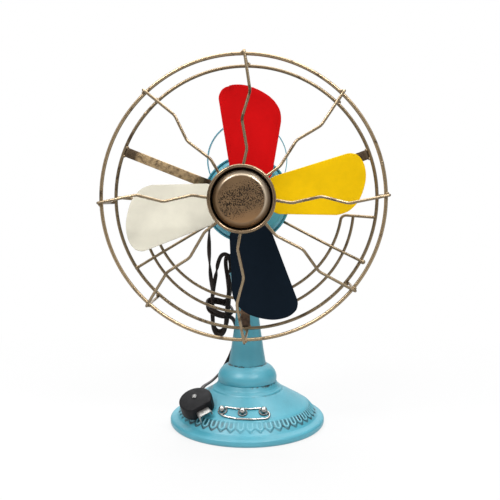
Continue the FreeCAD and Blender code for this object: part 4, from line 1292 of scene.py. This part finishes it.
class FAN_OT_blades(bpy.types.Operator):
    """Make the four enamelled petal blades and their rivets."""
    bl_idname = "fan.blades"
    bl_label = "Blades"

    def execute(self, context):
        spots = []
        for name, (angle, *cut) in BLADES.items():
            place = blade_place(angle)
            mesh = plate(self.outline(*cut), -BLADE_HALF_SHEET, BLADE_HALF_SHEET, 0.3, place,
                         1.6)
            new_piece("fan_blade_" + name, mesh, name,
                      "blade_" + ("white" if name == "cream" else name), body="fan")
            facing = place.to_3x3() @ OUTWARD
            spots += [(place @ upright(x, 0, BLADE_HALF_SHEET), facing) for x in RIVET_REACHES]
        cap = spun([(0, 1.1), (1.2, 0.95), (2.2, 0.5), (2.7, 0.0), (2.7, -0.4), (0, -0.4)], 20,
                   False)
        new_piece("fan_rivets", repeated(cap, spots, "steel"), "steel", "blade_rivets",
                  body="fan")
        return {"FINISHED"}

    def outline(self, slide, width, length, root_front, root_back):
        """The petal: two straight sides and a smooth tip through its points."""
        tip = [Vector((x * length + slide, y * width, 0)) for x, y in BLADE_TIP]
        front = Vector((30.0 * length + slide, root_front, 0))
        back = Vector((28.0 * length + slide, -root_back, 0))
        padded = [front.lerp(tip[0], 0.93)] + tip + [tip[-1].lerp(back, 0.08)]
        smooth = []
        for i in range(1, len(padded) - 2):
            a, b, c, d = padded[i - 1:i + 3]
            for step in range(6):
                t = step / 6
                smooth.append(0.5 * ((2 * b) + (c - a) * t + (2 * a - 5 * b + 4 * c - d) * t**2
                                     + (3 * b - a - 3 * c + d) * t**3))
        root = [back, Vector((10.5, -7.0, 0)), Vector((10.5, 7.0, 0)), front]
        line = smooth + rounded([tip[-1]] + root + [tip[0]], [0, 9, 1.5, 1.5, 9, 0], 5)[:-1]
        return list(reversed(line))


HOUSING_RADIUS = 41.2
HANDLE_CENTRE_Y = 38.0
HANDLE_RADIUS = 39.0
HANDLE_FOOT = 13.0
HANDLE_WIDTH, HANDLE_SHEET = 8.0, 0.8
HANDLE_REACH = HOUSING_RADIUS + 0.4
SADDLE_HALF = 24.0


class FAN_OT_housing(bpy.types.Operator):
    """Make the bullet housing, the carrying handle and the fixing screws."""
    bl_idname = "fan.housing"
    bl_label = "Housing and handle"

    def execute(self, context):
        front = outline_of(
            [(0, 24.0), (36.6, 24.0), (39.0, 21.6), (39.0, 14.6), (40.85, 14.2), (40.85, 2.0),
             (38.8, 2.0), (38.8, 12.6), (37.8, 13.4), (37.8, 21.0), (36.0, 22.8), (0, 22.8)],
            [0, 3.0, 3.0, 0.6, 0.2, 0.2, 0.2, 0.3, 0.3, 1.5, 1, 0], 5, False
        )
        new_piece("housing_face", spun(front, 128, False, HEAD_PLACE), "housing",
                  "housing_front")
        rear = outline_of(
            [(0, -44.0), (17.6, -41.3), (30.5, -33.6), (37.5, -22.4), (39.8, -10.0),
             (39.8, 1.2), (40.9, 1.8), (40.9, 16.0), (42.4, 16.0), (42.4, 8.6), (41.2, 7.6),
             (41.2, -10.0), (38.8, -23.0), (31.4, -34.6), (18.0, -42.6), (0, -45.4)],
            [0, 26, 18, 18, 16, 0.2, 0.2, 0.3, 0.6, 0.8, 0.8, 20, 22, 22, 30, 0], 7, False
        )
        new_piece("housing_bullet", spun(rear, 128, False, HEAD_PLACE), "housing",
                  "housing_rear")
        self.make_handle()
        self.make_screws()
        return {"FINISHED"}

    def landing(self):
        """The angle on the housing where the handle's loop comes down on it."""
        rise = (HANDLE_REACH**2 + HANDLE_CENTRE_Y**2 - HANDLE_RADIUS**2) / (
            2 * HANDLE_REACH * HANDLE_CENTRE_Y)
        return math.asin(rise)

    def make_handle(self):
        """One bent strip: a foot on the housing, the loop and the other foot."""
        landing = self.landing()
        spot = Vector((*polar(HANDLE_REACH, landing), 0))
        start = math.atan2(spot.y - HANDLE_CENTRE_Y, spot.x)
        foot = math.radians(HANDLE_FOOT)
        feet = ([landing - foot + foot * i / 6 for i in range(6)],
                [math.pi - landing + foot * i / 6 for i in range(1, 7)])
        feet = [[head(*polar(HANDLE_REACH, angle), 0) for angle in turns] for turns in feet]
        loop = []
        for i in range(61):
            side, up = polar(HANDLE_RADIUS, start + (math.pi - 2 * start) * i / 60)
            loop.append(head(side, up + HANDLE_CENTRE_Y, 0))
        mesh = strip(feet[0] + loop + feet[1], (0, 1, 0), HANDLE_WIDTH, HANDLE_SHEET, 0.3)
        new_piece("carrying_strip", mesh, "housing", "carry_handle")

    def make_screws(self):
        """Pan-head screws with a slot, standing on what they hold."""
        form = taken(spun([(0, 1.6), (1.0, 1.52), (1.9, 1.15), (2.4, 0.45), (2.4, -0.3),
                           (0, -0.3)], 24, False))
        for vert in form.verts:
            if abs(vert.co.y) < 0.00045 and vert.co.z > 0.0008:
                vert.co.z -= 0.0006
        mesh = mesh_from(form)
        spots = [(on_head(35.8, angle, 25.5), (0, -1, 0)) for angle in STRAP_ANGLES]
        middle = math.degrees(self.landing()) - HANDLE_FOOT * 0.62
        aside = SADDLE_HALF * 0.68
        for out, z, angles in ((0.8, 0, (middle, 180 - middle)),
                               (1.7, -1.5, (-90 - aside, -90 + aside))):
            for angle in angles:
                spot = on_head(HOUSING_RADIUS + out, angle, z)
                spots.append((spot, (spot - head(0, 0, z)).normalized()))
        new_piece("fixing_screws", repeated(mesh, spots, "dull_steel", seed=3), "dull_steel",
                  "housing_screws")


PETAL_BAND_RADIUS = 65.5
PETAL_COLUMNS, PETAL_ROWS = 24, 26
# The petal band's slope from the top down, as (radius, height).
PETAL_SLOPE = ((59.6, 20.2), (61.1, 19.0), (62.3, 17.4), (68.4, 10.9), (69.9, 9.3),
               (71.9, 8.05), (75.0, 6.95))
PETAL_TOP, PETAL_FOOT = -0.9, 13.1
PETAL_START = -92.6


class FAN_OT_stand(bpy.types.Operator):
    """Make the base with its embossed petals, the dome, the column and the neck cap."""
    bl_idname = "fan.stand"
    bl_label = "Stand"

    def execute(self, context):
        sizes = context.scene.fan_sizes
        shell = outline_of(
            [(3.2, 41.4), (29.4, 41.4), (31.2, 37.6), (33.3, 35.9), (34.6, 35.15),
             (35.5, 33.75), (37.2, 32.95), SKIRT_END, (61.0, 19.2),
             (62.3, 17.4), (68.4, 10.9), (70.4, 8.5), (75.2, 6.9), (77.3, 5.6), (77.3, 1.6),
             (75.9, 0), (74.2, 0), (74.2, 5.0), (71.6, 6.0), (68.8, 7.4), (67.0, 9.3),
             (60.3, 16.9), (58.4, 18.9), (34.0, 32.8), (32.2, 34.4), (28.4, 39.9), (3.2, 39.9)],
            [0, 0.3, 5.0, 2.0, 0.7, 0.9, 1.5, 1.5, 1.6, 0.8, 2.5, 3, 0.7, 2.4, 2.0, 0.5, 0.3, 1,
             1, 2, 3, 2, 1, 1, 1, 1, 0]
        )
        tint = [self.seam_soil_and_step_shade(r, z) for r, z in shell]
        new_piece("base_pressing", spun(shell, 192, tint=tint, around=self.seam_and_shade_share),
                  "stand", "base_shell")
        new_piece("base_petals", self.petal_band(sizes), "stand")
        dome = outline_of(
            [(3.2, 58.9), (18.9, 58.9), (20.2, 58.2), (25.2, 55.2), (28.7, 50.3), (29.7, 46.0),
             (29.4, 43.0), (28.9, 41.42), (3.2, 41.42)],
            [0, 0.4, 3, 11, 12, 10, 4, 0.3, 0], 6
        )
        tint = [max(upper, lower) for upper, lower in zip(self.seam_tint(dome, 58.9, 0.9),
                                                          self.seam_tint(dome, 41.5, 1.0))]
        new_piece("base_bulge", spun(dome, 160, tint=tint, around=self.seam_and_shade_share), "stand",
                  "base_dome")
        self.make_column()
        return {"FINISHED"}

    def seam_tint(self, outline, height, reach):
        """Dirt along an outline, held where a seam lies at this height."""
        return [max(0.0, 1 - abs(z - height) / reach) if r > 15 else 0.0 for r, z in outline]

    def seam_soil_and_step_shade(self, radius, height):
        """Dirt round the dome's foot and, less of it, painted shade in the step below."""
        seam = max(0.0, 1 - math.hypot(radius - 29.6, height - 41.3) / 1.7)
        step = 0.62 * max(0.0, 1 - math.hypot(radius - 35.5, height - 33.8) / 1.1)
        return max(seam, step)

    def seam_and_shade_share(self, angle, height):
        """Dirt lies all round the top seam; in the lower ones a quarter of the dark lies all round
        and the rest, painted shade, mostly to one side.
        """
        if height > 50:
            return 1.0
        return 0.25 + 0.75 * math.exp(-(((math.degrees(angle) - 318 + 180) % 360 - 180) / 46)**2)

    def make_column(self):
        """The hourglass column and the cap on it."""
        line = outline_of(
            [(3.2, 59.0), (18.9, 59.0), (18.1, 62.5), (16.4, 72.8), (14.95, 83.0), (13.4, 93.3),
             (11.9, 105.0), (11.45, 112.0), (11.7, 120.0), (12.9, 128.5), (14.1, 134.5),
             (15.6, 140.0), (16.9, 146.4), (17.2, 148.0), (3.2, 148.0)],
            [0, 0.3] + [14] * 11 + [0.3, 0])
        new_piece("hourglass_column", spun(line, 128, tint=self.seam_tint(line, 59.0, 1.1)),
                  "column", "column")
        cap = outline_of([(3.2, 148.0), (17.1, 148.0), (18.0, 148.8), (17.6, 150.2),
                          (10.5, 153.4), (3.2, 153.4)], [0, 0.3, 0.8, 0.8, 1.2, 0])
        new_piece("neck_collar", spun(cap, 96), "stand", "neck_cap")

    def petal_band(self, sizes):
        """The embossed band: one petal's strip of it, repeated round the base and joined up."""
        half = math.pi / sizes.petal_count
        form = bmesh.new()
        layers = form.verts.layers.float
        layers.new("wash")
        layers.new("crest")
        wash, crest = layers["wash"], layers["crest"]
        grid = []
        for j in range(PETAL_COLUMNS + 1):
            side = 2 * j / PETAL_COLUMNS - 1
            angle = half * side + math.radians(PETAL_START)
            points = []
            for i in range(PETAL_ROWS + 1):
                down = PETAL_TOP + 14.0 * i / PETAL_ROWS
                spot, out = self.slope_point(down)
                ends = min(1.0, i / 3, (PETAL_ROWS - i) / 3)
                rise, dark, light = self.petal_form(down, abs(side) * (half * PETAL_BAND_RADIUS))
                spot = spot + out * (rise * sizes.petal_height / MM * ends - 0.35 * (1 - ends))
                points.append((spot + out * 0.06, dark * ends, light * ends))
            for down in (PETAL_FOOT, PETAL_TOP):
                spot, out = self.slope_point(down)
                points.append((spot - out * 1.0, 0.0, 0.0))
            ring = []
            for spot, dark, light in points:
                vert = form.verts.new(Vector((*polar(spot.x, angle), spot.z)) * MM)
                vert[wash], vert[crest] = dark, light
                ring.append(vert)
            grid.append(ring)
        skin(form, grid)
        form = taken(grown(plain(form), tree_named("round_row", ring_tree),
                           {"Count": sizes.petal_count, "Material": stock("stand")}))
        wash = form.verts.layers.float["wash"]
        # Painted shade in the petals is weak at the front and strong to the sides.
        for vert in form.verts:
            turn = math.degrees(math.atan2(vert.co.y, vert.co.x))
            share = 1.25 - 1.02 * math.exp(-((turn + 84) / 27) ** 2)
            vert[wash] = min(1.0, vert[wash] * share)
        return mesh_from(form, sharp=70.0)

    def slope_point(self, down):
        """The base's surface and the way out of it, so far down the lower slope."""
        left = down + 1.8
        for (r0, z0), (r1, z1) in zip(PETAL_SLOPE, PETAL_SLOPE[1:]):
            run = math.hypot(r1 - r0, z1 - z0)
            if left <= run or (r1, z1) == PETAL_SLOPE[-1]:
                share = left / run
                out = Vector((z0 - z1, 0, r1 - r0)).normalized()
                return Vector((r0 + (r1 - r0) * share, 0, z0 + (z1 - z0) * share)), out
            left -= run

    def petal_form(self, down, across):
        """A petal's height, painted shade and painted crest highlight: a raised loop on a pointed
        leaf.
        """
        loop = (across if down < 6.3 else math.hypot(down - 6.3, across)) - 2.3
        leaf = (11.7 - across - down) * 0.7
        fade = share_of(down - 0.4, 1.8)
        crest = math.exp(-((loop / 0.78) ** 2)) * fade
        height = max(crest, 0.45 * fade * share_of(leaf + 0.1, 0.55))
        if loop < 0:
            height = max(height, 0.30 * fade)
        # Painted shade under the leaf, between the loops and inside them.
        foot = 1.25 * math.exp(-(((leaf + 0.15) / 0.66) ** 2))
        between = 1.05 * math.exp(-((loop - 1.75) / 0.80) ** 2) * (leaf > 0)
        inside = 0.85 * share_of(-loop - 0.65, 0.5)
        return height, max(foot, between, inside) * fade, crest ** 2


BUTTONS = {"button_left": -23.4, "button_middle": -2.0, "button_right": 19.4}
BUTTON_REACH = 52.4
BALL = 3.1
BALL_HEIGHT = 3.3
CUP_MOUTH = 4.4
TRIM_WIRE = 0.9
TRIM_POINTS = (
    (48.4, -22.0), (48.8, -9.0), (48.8, 5.0), (48.6, 18.5), (51.5, 24.0), (57.5, 24.4),
    (60.0, 20.5), (59.8, 7.0), (59.4, -7.0), (57.9, -19.0), (55.2, -27.0), (51.0, -27.4),
    (49.0, -24.6),
)


class FAN_OT_buttons(bpy.types.Operator):
    """Make the ball buttons, their guides and the wire trim round them."""
    bl_idname = "fan.buttons"
    bl_label = "Buttons"

    def execute(self, context):
        ball = [(0, BALL_HEIGHT + BALL)]
        for a in range(10, 160, 10):
            up, side = polar(BALL, math.radians(a))
            ball.append((side, BALL_HEIGHT + up))
        ball += [(1.2, 0.4), (1.2, -4.1), (2.0, -4.1), (2.0, -5.1), (0, -5.1)]
        places = {node: skirt_place(BUTTON_REACH, turn) for node, turn in BUTTONS.items()}
        for node, place in places.items():
            new_piece(node + "_ball", spun(ball, 40, False, place), "steel", node, body=node)
        guide = outline_of(
            [(1.3, -4.0), (4.1, -4.0), (4.1, -0.2), (4.7, -0.2), (4.6, 1.1), (4.1, 1.5),
             (3.5, 1.4), (3.35, 1.0), (3.35, -1.2), (1.3, -1.2)],
            [0, 0.2, 0.1, 0.3, 0.6, 0.5, 0.3, 0.3, 0.3, 0], 3
        )
        # Painted shadow round the foot of each cup.
        cup = spun(guide, 40, tint=[share_of(0.9 - z, 0.8) for _, z in guide])
        spots = [(place.translation, place.to_3x3() @ OUTWARD) for place in places.values()]
        new_piece("button_cups", repeated(cup, spots, "dull_steel"), "dull_steel",
                  "button_guides")
        self.make_trim(places.values())
        return {"FINISHED"}

    def make_trim(self, places):
        """The trim ends in the guides: its line is cut where a button stands."""
        corners = [skirt_place(r, t, 1.1).translation for r, t in TRIM_POINTS]
        line = rounded(corners, 4.5 * MM, 6)
        dense = []
        for a, b in zip(line, line[1:]):
            steps = max(1, int((b - a).length / (0.5 * MM)))
            dense += [a.lerp(b, i / steps) for i in range(steps)]
        dense.append(line[-1])
        wells = [place.inverted() for place in places]
        runs = [[]]
        for point in dense:
            if any(math.hypot(*(well @ point).xy) < CUP_MOUTH * MM for well in wells):
                runs.append([])
            else:
                runs[-1].append(point)
        runs = [unbent(run) for run in runs if len(run) > 1]
        new_piece("button_trim_wire", wires(runs, TRIM_WIRE, "steel"), "steel", "button_trim")


class FAN_OT_inner_parts(bpy.types.Operator):
    """Give the turned and cut metal parts that stay as they are their finishes."""
    bl_idname = "fan.inner_parts"
    bl_label = "Inner parts"

    def execute(self, context):
        kept = {
            "dull_steel": ("base_plate", "tie_rod", "tie_rod_nut", "bearing_tube",
                           "shaft_collars", "blade_hub"),
            "felt": ("base_felt",), "stand": ("neck_post",), "housing": ("head_saddle",),
            "brass": ("front_bush", "rear_bush"), "steel": ("shaft", "shaft_nut"),
        }
        for finish, nodes in kept.items():
            for node in nodes:
                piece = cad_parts[node]
                piece.data.materials.clear()
                piece.data.materials.append(stock(finish))
        return {"FINISHED"}


class FAN_PT_panel(bpy.types.Panel):
    """Lists the steps that dress the fan."""
    bl_label = "Desk fan"
    bl_idname = "FAN_PT_panel"
    bl_space_type = "VIEW_3D"
    bl_region_type = "UI"
    bl_category = "Desk fan"

    def draw(self, context):
        for step in STEPS:
            self.layout.operator(step.bl_idname)
        for group in (context.scene.fan_finish, context.scene.fan_sizes):
            for name in group.bl_rna.properties.keys():
                if name not in ("rna_type", "name"):
                    self.layout.prop(group, name)


STEPS = (FAN_OT_stage, FAN_OT_lead, FAN_OT_cage, FAN_OT_hub, FAN_OT_blades, FAN_OT_housing,
         FAN_OT_stand, FAN_OT_buttons, FAN_OT_inner_parts)
CLASSES = (FanFinish, FanSizes) + STEPS + (FAN_PT_panel,)


def register():
    for cls in CLASSES:
        bpy.utils.register_class(cls)
    bpy.types.Scene.fan_finish = bpy.props.PointerProperty(type=FanFinish)
    bpy.types.Scene.fan_sizes = bpy.props.PointerProperty(type=FanSizes)


def unregister():
    del bpy.types.Scene.fan_sizes
    del bpy.types.Scene.fan_finish
    for cls in reversed(CLASSES):
        bpy.utils.unregister_class(cls)


def main():
    register()
    for step in STEPS:
        family, name = step.bl_idname.split(".")
        getattr(getattr(bpy.ops, family), name)()
    bpy.context.view_layer.update()


if __name__ == "__main__":
    main()
